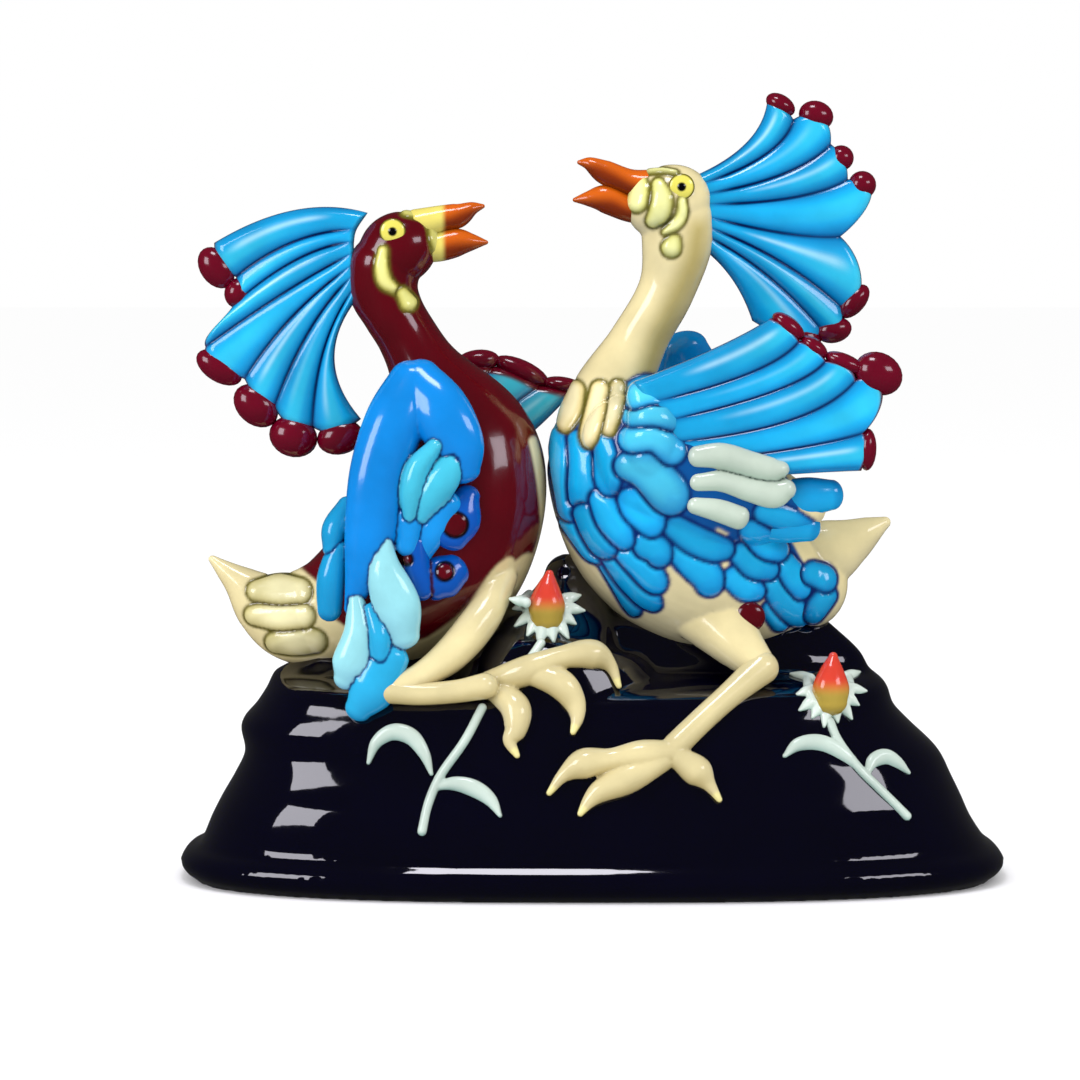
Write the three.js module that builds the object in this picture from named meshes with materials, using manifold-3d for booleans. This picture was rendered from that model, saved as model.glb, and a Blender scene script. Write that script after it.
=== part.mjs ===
// Glazed ceramic figurine: two crested birds facing each other on a rocky base with flowers.
// Millimetres, +Z up, X along the base, -Y towards the front. The origin is on the table,
// under the middle of the base. Every piece is a cast or hand-rolled clay piece that was
// luted to its neighbour with slip before firing, so nothing moves.

import * as THREE from 'three';
import { mergeVertices } from 'three/addons/utils/BufferGeometryUtils.js';
import Module from 'manifold-3d';

const wasm = await Module();
wasm.setup();

// Driving dimensions
const joint = 0.3;             // slip joint between two clay pieces

const baseHalfLength = 152;    // widest point of the rolled rim
const baseHalfDepth = 64;
const rimHeight = 13.5;        // rolled rim round the foot of the base
const perchHeight = 78;        // rock level that the birds stand on
const wallThickness = 7;       // cast wall of the hollow base
const footWidth = 12;          // width of the flat ring that the base stands on
const rockSwell = 1.6;         // unevenness of the rock

const crestRootThickness = 9;
const crestRimThickness = 7.5;
const plumeRelief = 0.42;      // depth of the lines between plumes, as a share of the thickness
const plumeScallop = 0.35;     // how far a plume's end stands out, as a share of its width

const wingThickness = 8;
const featherDepth = 3.6;      // half thickness of a feather laid on the wing
const featherLift = 0.8;       // how far a feather's middle stands off the skin under it
const farFeatherWidth = 6.4;

const toeRadius = 4;
const knuckle = 0.5;           // extra radius at a toe's joints

const eyeRadius = 4.1;
const pupilRadius = 1.8;
const eyeBulge = 1.5;
const spotRadius = 4.2;        // painted dot on an eye feather
const thighBeadRadius = 5.4;

const stemRadius = 1.9;
const leafHalfWidth = 4.6;
const leafDepth = 1.8;
const petalCount = 7;
const petalLength = 7.5;
const petalRadius = 1.9;
const budRadius = 6.8;
const budHeight = 19;

// Glaze colours
function glaze(color, roughness = 0.18) {
  return new THREE.MeshStandardMaterial({ color, roughness, metalness: 0 });
}
const navy = glaze(0x07061c, 0.12);
const blue = glaze(0x0d84d8);
const turquoise = glaze(0x35b4cf);
const royalBlue = glaze(0x0a55c4);
const paleGrey = glaze(0xa9b8a6);
const maroon = glaze(0x4a0616);
const cream = glaze(0xd9cb98);
const yellow = glaze(0xd8c964);
const orange = glaze(0xb4500f);
const black = glaze(0x0a0a0a);
const leafGreen = glaze(0xa9bdb0);
const budRed = glaze(0xc9473a);

// Solid helpers: a solid is a manifold-3d object, a shape is a function of its swell
function solidOf(geometry) {
  const bare = geometry.clone();
  bare.deleteAttribute('normal');
  bare.deleteAttribute('uv');
  const merged = mergeVertices(bare, 1e-4);
  const mesh = new wasm.Mesh({
    numProp: 3,
    vertProperties: new Float32Array(merged.attributes.position.array),
    triVerts: new Uint32Array(merged.index.array),
  });
  return new wasm.Manifold(mesh);
}

function geometryOf(solid) {
  const mesh = solid.getMesh();
  const geometry = new THREE.BufferGeometry();
  geometry.setAttribute('position', new THREE.BufferAttribute(mesh.vertProperties, 3));
  geometry.setIndex(new THREE.BufferAttribute(mesh.triVerts, 1));
  return geometry;
}

function joined(solids) {
  return solids.reduce((all, next) => all.add(next));
}

// What is left of a piece outside its neighbours, each swollen by the slip joint
function seated(shape, ...neighbours) {
  return neighbours.reduce((left, next) => left.subtract(next(joint)), shape(0));
}

// The largest of the closed skins in a geometry: a cut can leave crumbs behind
function largestBody(geometry) {
  const index = geometry.index.array;
  const owner = Array.from({ length: geometry.attributes.position.count }, (_, i) => i);
  const rootOf = (i) => {
    let root = i;
    while (owner[root] !== root) {
      root = owner[root];
    }
    owner[i] = root;
    return root;
  };
  for (let i = 0; i < index.length; i += 3) {
    owner[rootOf(index[i + 1])] = rootOf(index[i]);
    owner[rootOf(index[i + 2])] = rootOf(index[i]);
  }
  const skins = new Map();
  for (let i = 0; i < index.length; i += 3) {
    const root = rootOf(index[i]);
    if (!skins.has(root)) {
      skins.set(root, []);
    }
    skins.get(root).push(index[i], index[i + 1], index[i + 2]);
  }
  const positions = geometry.attributes.position.array;
  const bySize = [...skins.values()].sort(
    (a, b) => signedVolume(positions, b) - signedVolume(positions, a));
  geometry.setIndex(bySize[0]);
  return geometry;
}

function signedVolume(positions, index) {
  const a = new THREE.Vector3();
  const b = new THREE.Vector3();
  const c = new THREE.Vector3();
  let volume = 0;
  for (let i = 0; i < index.length; i += 3) {
    a.fromArray(positions, 3 * index[i]);
    b.fromArray(positions, 3 * index[i + 1]);
    c.fromArray(positions, 3 * index[i + 2]);
    volume += a.dot(b.cross(c)) / 6;
  }
  return volume;
}

// A closed solid from points and triangles, turned so that its faces point out
function closedSolid(points, index) {
  const positions = points.flatMap((point) => [point.x, point.y, point.z]);
  if (signedVolume(positions, index) < 0) {
    index.reverse();
  }
  const geometry = new THREE.BufferGeometry();
  geometry.setAttribute('position', new THREE.Float32BufferAttribute(positions, 3));
  geometry.setIndex(index);
  return solidOf(geometry);
}

// A skin over rings of equal count, closed by a pole at each end
function loft(rings, startPole, endPole) {
  const count = rings[0].length;
  const points = [...rings.flat(), startPole, endPole];
  const start = rings.length * count;
  const last = start - count;
  const index = [];
  for (let j = 0; j < count; j += 1) {
    const k = (j + 1) % count;
    index.push(start, k, j, start + 1, last + j, last + k);
    for (let row = 0; row < last; row += count) {
      index.push(row + j, row + k, row + count + j, row + k, row + count + k, row + count + j);
    }
  }
  return closedSolid(points, index);
}

// Rounding of a limb's ends: place beyond the end and size of each ring, as shares
const oneRingDome = [[0.5, 0.78]];
const twoRingDome = [[0.42, 0.88], [0.72, 0.6]];

// A swelling and tapering limb. A station is x, y, z, half width in the XZ plane, half depth.
function limb(stations, { sides = 6, steps = 1, lift = perchHeight, domes = oneRingDome } = {}) {
  const centres = stations.map(([x, y, z]) => new THREE.Vector3(x, y, z + lift));
  const sizes = stations.map(([, , , width, depth]) => new THREE.Vector3(width, depth, 0));
  const path = new THREE.CatmullRomCurve3(centres, false, 'centripetal');
  const sizePath = new THREE.CatmullRomCurve3(sizes, false, 'catmullrom', 0.5);
  const spans = (stations.length - 1) * steps;
  return (swell = 0) => {
    const rings = [];
    const ringAt = (share, along, shrink) => {
      const tangent = path.getTangent(share).normalize();
      const size = sizePath.getPoint(share);
      const up = new THREE.Vector3(0, 1, 0).addScaledVector(tangent, -tangent.y).normalize();
      const side = new THREE.Vector3().crossVectors(up, tangent);
      const reach = Math.min(size.x, size.y) + swell;
      const centre = path.getPoint(share).addScaledVector(tangent, along * reach);
      const ring = [];
      for (let j = 0; j < sides; j += 1) {
        const angle = (2 * Math.PI * j) / sides;
        const point = centre.clone();
        point.addScaledVector(side, Math.cos(angle) * (size.x + swell) * shrink);
        point.addScaledVector(up, Math.sin(angle) * (size.y + swell) * shrink);
        ring.push(point);
      }
      return ring;
    };
    const poleAt = (share, along) => {
      const size = sizePath.getPoint(share);
      const tangent = path.getTangent(share).normalize();
      return path.getPoint(share).addScaledVector(tangent, along * (Math.min(size.x, size.y) + swell));
    };
    domes.toReversed().forEach(([beyond, size]) => rings.push(ringAt(0, -beyond, size)));
    for (let i = 0; i <= spans; i += 1) {
      rings.push(ringAt(i / spans, 0, 1));
    }
    domes.forEach(([beyond, size]) => rings.push(ringAt(1, beyond, size)));
    return loft(rings, poleAt(0, -0.85), poleAt(1, 0.85));
  };
}

function bead(x, y, z, radius, {
  stretch = 1, turn = 0, flat = 0.8, lift = perchHeight, sides = 6 } = {}) {
  return (swell = 0) => {
    const ball = new THREE.SphereGeometry(1, sides, Math.ceil(0.7 * sides));
    ball.scale(radius * stretch + swell, radius * flat + swell, radius + swell);
    ball.rotateY(-turn);
    ball.translate(x, y, z + lift);
    return solidOf(ball);
  };
}

// One shape made of several that overlap, with each result kept for the next use
function together(...shapes) {
  const made = new Map();
  return (swell = 0) => {
    if (!made.has(swell)) {
      made.set(swell, joined(shapes.map((shape) => shape(swell))));
    }
    return made.get(swell);
  };
}

// A fan of plumes. Each rib is the line between two plumes: root, middle and tip as x, z pairs.
function fanOf({ ribs, rootY, tipY, rootThickness, tipThickness, perPlume = 3, rows = 4 }) {
  const plumes = ribs.length - 1;
  const curveOf = (k) => new THREE.CatmullRomCurve3(
    ribs.map((rib) => new THREE.Vector3(rib[k][0], 0, rib[k][1] + perchHeight)),
    false, 'catmullrom', 0.5);
  const [roots, middles, tips] = [curveOf(0), curveOf(1), curveOf(2)];
  const plumeLine = (share) => {
    const root = roots.getPoint(share);
    const tip = tips.getPoint(share);
    const control = middles.getPoint(share).multiplyScalar(2);
    control.addScaledVector(root, -0.5).addScaledVector(tip, -0.5);
    return new THREE.QuadraticBezierCurve3(root, control, tip);
  };
  const plumeWidth = (plume) => tips.getPoint(plume / plumes)
    .distanceTo(tips.getPoint((plume + 1) / plumes));
  const rimPoint = (plume, across, beyond = 0) => {
    const line = plumeLine((plume + across) / plumes);
    const reach = plumeWidth(plume) * plumeScallop * Math.sin(Math.PI * across) + beyond;
    return line.getPoint(1).addScaledVector(line.getTangent(1), reach);
  };
  const shape = (swell = 0) => {
    const columns = plumes * perPlume + 1;
    const front = [];
    const back = [];
    for (let column = 0; column < columns; column += 1) {
      const plume = Math.min(Math.floor(column / perPlume), plumes - 1);
      const across = column / perPlume - plume;
      const line = plumeLine(column / perPlume / plumes);
      const reach = plumeWidth(plume) * plumeScallop * Math.sin(Math.PI * across);
      const edge = (column === columns - 1) - (column === 0);
      const roll = Math.sin(Math.PI * across) ** 0.6;
      for (let row = 0; row <= rows; row += 1) {
        const along = row / rows;
        const point = line.getPoint(along);
        const tangent = line.getTangent(along);
        const grow = reach * along ** 3 + swell * ((row === rows) - (row === 0));
        point.addScaledVector(tangent, grow);
        point.addScaledVector(new THREE.Vector3(-tangent.z, 0, tangent.x), -fanSide * swell * edge);
        const thickness = THREE.MathUtils.lerp(rootThickness, tipThickness, along);
        const rounding = row === rows ? 0.6 : 1;
        const half = 0.5 * thickness * rounding * (1 - plumeRelief * (1 - roll)) + swell;
        const middle = THREE.MathUtils.lerp(rootY, tipY, along);
        front.push(point.clone().setY(middle - half));
        back.push(point.clone().setY(middle + half));
      }
    }
    return closedSolid([...front, ...back], shellIndex(columns, rows + 1));
  };
  const first = plumeLine(0);
  const turn = new THREE.Vector3().crossVectors(
    first.getTangent(0.5), middles.getPoint(1).sub(middles.getPoint(0)));
  const fanSide = Math.sign(turn.y);
  return { shape, rimPoint };
}

// Triangles of a plate whose two faces are grids of columns by rows
function shellIndex(columns, rows) {
  const index = [];
  const size = columns * rows;
  const quad = (a, b, c, d) => index.push(a, b, c, a, c, d);
  for (let i = 0; i < columns - 1; i += 1) {
    for (let j = 0; j < rows - 1; j += 1) {
      const a = i * rows + j;
      quad(a, a + rows, a + rows + 1, a + 1);
      quad(size + a, size + a + 1, size + a + rows + 1, size + a + rows);
    }
    const top = i * rows + rows - 1;
    const foot = i * rows;
    quad(foot, size + foot, size + foot + rows, foot + rows);
    quad(top, top + rows, size + top + rows, size + top);
  }
  const lastColumn = (columns - 1) * rows;
  for (let j = 0; j < rows - 1; j += 1) {
    quad(j, j + 1, size + j + 1, size + j);
    const b = lastColumn + j;
    quad(b, size + b, size + b + 1, b + 1);
  }
  return index;
}

// Beads on the rim of a fan: plume number, place across it, radius, stretch along the rim
function rimBeads(fan, y, list) {
  return together(...list.map(([plume, across, radius, stretch = 1]) => {
    const point = fan.rimPoint(plume, across, radius * 0.45);
    const before = fan.rimPoint(plume, across - 0.1);
    const after = fan.rimPoint(plume, across + 0.1);
    const turn = Math.atan2(after.z - before.z, after.x - before.x);
    return bead(point.x, y, point.z - perchHeight, radius, { stretch, turn, sides: 5 });
  }));
}

// Distance from the middle plane to the outer skin of a solid, at x, z, on the front or back
function skinOf(solid) {
  const mesh = new THREE.Mesh(geometryOf(solid), new THREE.MeshBasicMaterial({ side: THREE.DoubleSide }));
  mesh.geometry.computeBoundingSphere();
  const caster = new THREE.Raycaster();
  return (x, z, side = -1) => {
    caster.set(new THREE.Vector3(x, side * 4 * baseHalfDepth, z), new THREE.Vector3(0, -side, 0));
    const hits = caster.intersectObject(mesh);
    return hits.length > 0 ? hits[0].point.y : undefined;
  };
}

// Puts stations of x, z, half width, half depth on a skin, sunk by a depth
function laidOn(skin, stations, { side = -1, sink = 0, lift = perchHeight } = {}) {
  let last = 0;
  return stations.map(([x, z, width, depth = featherDepth]) => {
    last = skin(x, z + lift, side) ?? last;
    return [x, last - side * sink, z, width, depth];
  });
}

// Base: a rolled rim, a steep skirt and a stepped rock, hollow from below.
// Rows of the rock: share of the height from rim to perch, insets left, right, front and back.
const rimRows = [
  [0, 7, 7, 6, 6],
  [0.2, 2.2, 2.2, 1.6, 1.6],
  [0.52, 0, 0, 0, 0],
  [0.82, 3, 3, 2, 2],
  [1, 7.5, 6.5, 4.5, 4.5],
];
const rockRows = [
  [0.14, 11.5, 11, 5.5, 5.5],
  [0.26, 15.5, 16.5, 6.5, 7],
  [0.38, 20, 23, 10, 10],
  [0.52, 24, 31, 13, 12.5],
  [0.67, 22.5, 41, 15.5, 14],
  [0.78, 28, 41, 18, 16.5],
  [0.89, 32.5, 43.5, 22, 20.5],
  [0.945, 34, 47, 33, 31],
  [0.985, 37, 50, 45, 43],
  [1.09, 52, 54, 49, 47],
  [1.26, 86, 66, 54, 53],
];
const rockSides = 20;
const hollowSides = 12;

function baseRing(z, [left, right, front, back], swell, sides, rough) {
  const west = left - baseHalfLength - swell;
  const east = baseHalfLength + swell - right;
  const middle = (east + west) / 2;
  const ring = [];
  for (let j = 0; j < sides; j += 1) {
    const angle = (2 * Math.PI * j) / sides;
    const c = Math.cos(angle);
    const s = Math.sin(angle);
    const wave = rough * rockSwell * Math.sin(5 * angle + z / 6) * Math.cos(2 * angle - z / 11);
    const depth = baseHalfDepth + swell - (s < 0 ? front : back) + wave;
    const x = middle + ((east - west) / 2) * Math.sign(c) * Math.abs(c) ** 0.72;
    ring.push(new THREE.Vector3(x, depth * Math.sign(s) * Math.abs(s) ** 0.72, z));
  }
  return ring;
}

// The boulder that rises between the two birds
const boulder = limb([
  [-14, -4, -14, 48, 42],
  [-14, -4, 2, 38, 37],
  [-13, -3, 10, 28, 29],
  [-10, -2, 20, 18, 20],
  [-9, 0, 32, 9, 10],
], { sides: 12 });

function rockBody(swell = 0) {
  const rings = rimRows.map(([share, ...insets]) =>
    baseRing(share * rimHeight, insets, swell, rockSides, 0));
  for (const [share, ...insets] of rockRows) {
    const z = rimHeight + share * (perchHeight - rimHeight) + swell;
    rings.push(baseRing(z, insets, swell, rockSides, Math.min(1, share * 2)));
  }
  const top = rings.at(-1);
  const peak = top.reduce((sum, point) => sum.add(point), new THREE.Vector3());
  peak.divideScalar(top.length).setZ(top[0].z + 4);
  return loft(rings, new THREE.Vector3(0, 0, -swell), peak);
}
const rock = together(rockBody, boulder);

// The hollow follows the rock, one wall inside it, and is open at the foot
function hollow() {
  const floorInsets = rimRows[0].slice(1).map((inset) => inset + footWidth);
  const rings = [-5, 5].map((z) => baseRing(z, floorInsets, 0, hollowSides, 0));
  for (const [share, ...insets] of rockRows.slice(1, 8).filter((row, i) => i % 2 === 0)) {
    const z = rimHeight + share * (perchHeight - rimHeight) - 1.6 * wallThickness;
    rings.push(baseRing(z, insets.map((inset) => inset + 1.5 * wallThickness), 0, hollowSides, 0));
  }
  const top = rings.at(-1)[0].z;
  return loft(rings, new THREE.Vector3(0, 0, -5), new THREE.Vector3(0, 0, top + 2));
}

// Right bird: cream head, neck and belly, blue scale feathers
const rightBody = together(limb([
  [80, 0, 29, 16, 14],
  [62, -1, 33, 28, 25],
  [43, -2, 41, 36, 31],
  [23, -2, 56, 36, 32],
  [8, -2, 78, 26, 25],
  [7, -2, 98, 16, 16],
  [16, -2, 118, 10.5, 10.5],
  [26, -3, 138, 9, 9],
  [32, -4, 155, 10, 9.5],
  [33, -4, 165, 10.5, 9.5],
], { sides: 12, steps: 2 }), bead(26.5, -4, 171, 13.5, { stretch: 1.15, turn: 0.45, flat: 0.87, sides: 12 }));
const rightTail = limb([
  [76, 0, 37, 11, 9],
  [88, 0, 42, 12, 9],
  [96, 0, 46, 8.5, 7],
  [102, 0, 49.5, 5.5, 5],
  [107.5, 0, 52.5, 2.4, 2.4],
], { sides: 8 });

const rightUpperBeak = limb([
  [20, -4, 177, 7, 6.5],
  [9, -4, 179, 5.2, 5],
  [1, -4, 181.5, 3.2, 3.4],
  [-4.5, -4, 183.8, 0.8, 0.9],
], { sides: 7 });
const rightLowerBeak = limb([
  [21, -4, 166, 5, 5.5],
  [8, -4, 168, 3.8, 4],
  [0, -4, 169.6, 2.3, 2.6],
  [-6, -4, 171.2, 0.7, 0.8],
], { sides: 7 });

const rightCrestFan = fanOf({
  ribs: [
    [[36, 178], [55, 188], [64, 206]],
    [[38, 175], [61, 184], [74, 200]],
    [[39, 172], [65, 179], [86, 192]],
    [[40, 168], [69, 170], [92, 182]],
    [[40, 165], [69, 160], [92, 157]],
    [[40, 162], [64, 150], [89, 133]],
    [[39, 160], [60, 142], [82, 123]],
    [[37, 157], [52, 139], [59, 127]],
  ],
  rootY: -3,
  tipY: 3,
  rootThickness: crestRootThickness,
  tipThickness: crestRimThickness,
});
const rightCrestBeads = rimBeads(rightCrestFan, 3, [
  [0, 0.5, 5, 1.25],
  [1, 0.5, 5.4, 1.25],
  [2, 0.5, 4],
  [3, 0.3, 4.8],
  [4, 0.62, 6],
  [5, 0.5, 5.4],
  [6, 0.4, 5.2, 1.3],
]);
const rightCrest = together(rightCrestFan.shape, rightCrestBeads);

const rightWingPad = limb([
  [8, -20, 88, 14, 10],
  [22, -24, 78, 23, 13],
  [44, -26, 66, 22, 12],
  [64, -26, 62, 14, 9],
  [78, -26, 60, 7, 6],
], { sides: 8 });
const rightWingFan = fanOf({
  ribs: [
    [[14, 106], [40, 119], [67, 132]],
    [[17, 98], [54, 104], [73, 114]],
    [[20, 91], [57, 94], [82, 108]],
    [[22, 84], [62, 85], [94, 100]],
    [[24, 76], [70, 77], [99, 82]],
  ],
  rootY: -30,
  tipY: -32,
  rootThickness: 1.2 * wingThickness,
  tipThickness: wingThickness,
});
const rightWingBeads = rimBeads(rightWingFan, -32, [
  [0, 0.5, 5.2, 1.3],
  [1, 0.5, 4.6, 1.2],
  [2, 0.5, 5, 1.3],
  [3, 0.22, 6.4],
  [3, 1, 5],
]);
const rightSide = skinOf(together(rightWingPad, rightWingFan.shape, rightBody)());

function feathers(skin, list, options) {
  const laid = (stations) => laidOn(skin, stations, { sink: -featherLift, ...options });
  return together(...list.map((stations) => limb(laid(stations), { sides: 5 })));
}

const rightCoverts = feathers(rightSide, [
  [[13, 99, 5], [22, 101, 6.4], [31, 97.5, 5.6]],
  [[10, 90.5, 5.4], [21, 91.5, 6.6], [32, 88, 5.8]],
  [[9, 81.5, 5.6], [20, 81, 7], [31, 76.5, 6]],
  [[11, 71.5, 6], [21, 68, 8.2], [30, 61, 7.4]],
  [[12, 60, 5.4], [18, 56, 7], [25, 50, 5.8]],
]);
const rightNearWing = together(
  rightWingPad,
  rightCoverts,
  limb([[66, -28, 64, 6, 4.6], [78, -29, 62.5, 7, 4.6], [89, -28, 62, 5.4, 4]]),
  limb([[58, -27, 55, 6, 4.6], [68, -28, 53, 6.6, 4.6], [79, -27, 52.5, 5, 4]]),
);
const rightPaleFeathers = feathers(rightSide, [
  [[39, 75.5, 5.6], [50, 74.5, 6.2], [61, 72.5, 6.4], [69, 70, 5.4]],
  [[39, 66.5, 5.8], [51, 65.5, 6.2], [64, 62, 6.6], [72, 61, 5.6]],
  [[39, 57.5, 5.4], [48, 55, 6.2], [57, 52, 5.4]],
]);
const rightPrimaries = together(
  rightWingFan.shape,
  rightWingBeads,
  limb([[70, -31, 77, 6, 4.6], [84, -31, 73.5, 6.4, 4.6], [93, -31, 71, 5, 4]]),
);
const rightNeckFeathers = feathers(skinOf(rightBody()), [
  [[-1, 104, 3], [-9, 93, 3], [-12, 86, 1.8]],
  [[1, 106, 3.4], [-5, 92, 3.6], [-9, 82, 2.4]],
  [[5, 106, 3.4], [1, 91, 3.6], [-1, 79, 2.4]],
  [[9, 106, 3.4], [8, 93, 3.6], [6, 80, 2.4]],
], { sink: 0 });

const rightFarWing = limb([
  [34, 22, 116, 9, 6],
  [38, 26, 100, 15, 7.5],
  [48, 29, 80, 19, 8],
  [62, 27, 60, 15, 7],
  [77, 22, 45, 8, 5],
  [87, 18, 36, 3.5, 3.5],
], { sides: 8 });
const rightFarSide = skinOf(rightFarWing());
const rightFarFeathers = feathers(rightFarSide, [
  [[34, 112, 5], [34, 100, farFeatherWidth], [36, 86, 5]],
  [[41, 108, 5], [44, 96, farFeatherWidth], [46, 82, 5]],
  [[39, 86, 5], [46, 68, farFeatherWidth], [56, 54, 4]],
  [[48, 86, 5], [56, 68, farFeatherWidth], [66, 52, 4]],
  [[56, 84, 5], [65, 68, farFeatherWidth], [75, 51, 4]],
], { side: 1 });

// Left bird: maroon head, neck and back, cream belly and tail
const leftBody = together(limb([
  [-97, 0, 19, 20, 17],
  [-78, -2, 27, 30, 26],
  [-58, -2, 42, 34, 31],
  [-48, -2, 61, 29, 29],
  [-49, -2, 80, 26, 25],
  [-57, -2, 100, 19.5, 19],
  [-68, -2, 120, 14, 13.5],
  [-75, -3, 136, 13, 11.5],
  [-76, -4, 147, 12.5, 11.5],
], { sides: 12, steps: 2 }), bead(-71, -4, 153, 13.2, { stretch: 1.12, turn: 0.5, flat: 0.9, sides: 12 }));
const leftTailFan = limb([
  [-97, 0, 18, 18, 14],
  [-106, 0, 18, 18.5, 14],
  [-114, 0, 19.5, 16.5, 12],
  [-122, 0, 23.5, 12, 9],
  [-130, 0, 30.5, 6.5, 6],
  [-136, 0, 35.5, 3.4, 3.4],
  [-140, 0, 39, 1.6, 1.6],
], { sides: 8 });
const tailSkin = skinOf(leftTailFan());
const tailFeathersOn = (side) => feathers(tailSkin, [
  [[-123, 28, 4], [-115, 28.5, 5.4], [-107, 28.5, 4.6]],
  [[-124, 19, 4], [-115, 19.5, 5.8], [-106, 19.5, 4.8]],
  [[-116, 9, 4.4], [-109, 10, 6], [-102, 10, 5]],
], { side, sink: 0 });
const leftTail = together(leftTailFan, tailFeathersOn(-1), tailFeathersOn(1));

const leftUpperBeak = limb([
  [-63, -4, 161, 6, 6],
  [-51, -4, 164.5, 3.8, 4],
  [-44, -4, 166.5, 2.2, 2.4],
  [-38.5, -4, 168, 0.8, 0.9],
], { sides: 7 });
const leftLowerBeak = limb([
  [-63, -4, 152.5, 6, 6],
  [-51, -4, 154.5, 3.8, 4],
  [-44, -4, 155.6, 2.2, 2.4],
  [-38.5, -4, 156.4, 0.8, 0.9],
], { sides: 7 });

const leftCrestFan = fanOf({
  ribs: [
    [[-78, 164], [-110, 168], [-139, 154]],
    [[-84, 160], [-109, 159], [-131, 145]],
    [[-85, 156], [-108, 149], [-127, 134]],
    [[-85, 151], [-112, 134], [-126, 107]],
    [[-85, 147], [-109, 119], [-117, 96]],
    [[-85, 142], [-103, 115], [-104, 89]],
    [[-84, 138], [-94, 113], [-83, 94]],
  ],
  rootY: -4,
  tipY: 2,
  rootThickness: crestRootThickness,
  tipThickness: crestRimThickness,
});
const leftCrestBeads = rimBeads(leftCrestFan, 2, [
  [0, 0.5, 6.4, 1.15],
  [1, 0.5, 4.8],
  [2, 0.8, 6.8, 1.1],
  [3, 0.5, 7.4, 1.1],
  [4, 0.5, 7.4, 1.1],
  [5, 0.45, 6.4, 1.2],
]);
const leftCrest = together(leftCrestFan.shape, leftCrestBeads);

const leftWing = together(
  limb([
    [-65, -28, 96, 10, 7],
    [-72, -33, 86, 11, 7.5],
    [-77, -35, 70, 10.5, 7],
    [-80, -37, 50, 9.5, 6],
    [-83, -38, 36, 6.5, 5],
    [-87, -38, 25, 2.6, 3],
  ], { sides: 8 }),
  limb([
    [-65, -28, 96, 10, 7],
    [-56, -34, 88, 11, 6.5],
    [-50, -36, 78, 9, 5.5],
    [-47, -35, 71, 6, 4.5],
  ], { sides: 8 }),
);
const leftInnerFeathers = together(
  limb([[-61, -34, 76, 5, 5], [-65, -36, 62, 5.5, 4.5], [-67, -37, 47, 4, 3.5]]),
  limb([[-50, -34, 74, 6, 5], [-54, -35, 63, 7, 5], [-59, -35, 50, 5, 4], [-61, -34, 44, 3, 3.4]]),
);
const leftSide = skinOf(leftBody());
const eyeFeatherPlaces = [
  [-50, 45, 10, 0.6],
  [-52, 30, 9.4, 0.9],
  [-62, 37, 9, 1.4],
];
const eyeFeatherPads = together(...eyeFeatherPlaces.map(([x, z, radius, lean]) => bead(
  x, leftSide(x, z + perchHeight) - 0.5, z, radius, { stretch: 1.25, turn: lean, flat: 0.46 })));
const padSkin = skinOf(eyeFeatherPads());
const leftEyeFeathers = together(eyeFeatherPads, ...[
  [-49.5, 46.5, spotRadius],
  [-52, 29.5, 0.75 * spotRadius],
].map(([x, z, radius]) => bead(x, padSkin(x, z + perchHeight), z, radius, { flat: 0.4 })));
const leftLowerFeathers = together(
  limb([[-74, -38, 42, 4, 4], [-69, -40, 30, 7, 5], [-65, -41, 17, 8.4, 5.5], [-67, -41, 4, 4.6, 4.4]]),
  limb([[-84, -38, 26, 4, 4], [-85, -40, 10, 7, 5], [-88, -40, -6, 5.4, 4.4]]),
  limb([[-77, -39, 16, 7, 5], [-77, -41, -3, 9, 5.5], [-82, -41, -17, 4.6, 4.4]]),
);
const leftEdgeFeather = limb([
  [-88, -27, 56, 5, 6],
  [-92, -30, 40, 5.4, 6],
  [-93, -33, 24, 5, 5],
  [-94, -33, 15, 3.4, 4],
]);

const leftFarFan = fanOf({
  ribs: [
    [[-60, 82], [-53, 101], [-46, 113]],
    [[-56, 78], [-42, 98], [-28, 112]],
    [[-51, 74], [-33, 91], [-10, 107]],
    [[-48, 68], [-28, 80], [-4, 92]],
  ],
  rootY: 18,
  tipY: 30,
  rootThickness: 1.2 * wingThickness,
  tipThickness: wingThickness,
});
const leftFarBeads = rimBeads(leftFarFan, 30, [
  [0, 0.5, 6, 1.3],
  [1, 0.5, 6, 1.3],
  [2, 0.5, 6, 1.2],
]);
const leftFarFeathers = feathers(leftSide, [
  [[-60, 84, 5], [-63, 66, farFeatherWidth], [-70, 46, 4.6]],
  [[-51, 78, 5], [-53, 60, farFeatherWidth], [-60, 40, 4.6]],
  [[-66, 74, 5], [-73, 56, farFeatherWidth], [-84, 38, 4.6]],
], { side: 1 });
const leftFarWing = together(leftFarFan.shape, leftFarBeads, leftFarFeathers);

// Eyes: a flat dome with a raised pupil, on each side of a head
const rightEyePlace = [32, 175];
const leftEyePlace = [-73, 158];
function eyeOn(body, [x, z], side) {
  const head = skinOf(body());
  const white = bead(x, head(x, z + perchHeight, side), z, eyeRadius, { flat: eyeBulge / eyeRadius });
  const top = skinOf(white())(x, z + perchHeight, side);
  return together(white, bead(x, top, z, pupilRadius, { flat: 0.4 }));
}

// Legs and feet. The rock carries the feet, so their depth is read from the rock.
const rockSkin = skinOf(rock());

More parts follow.
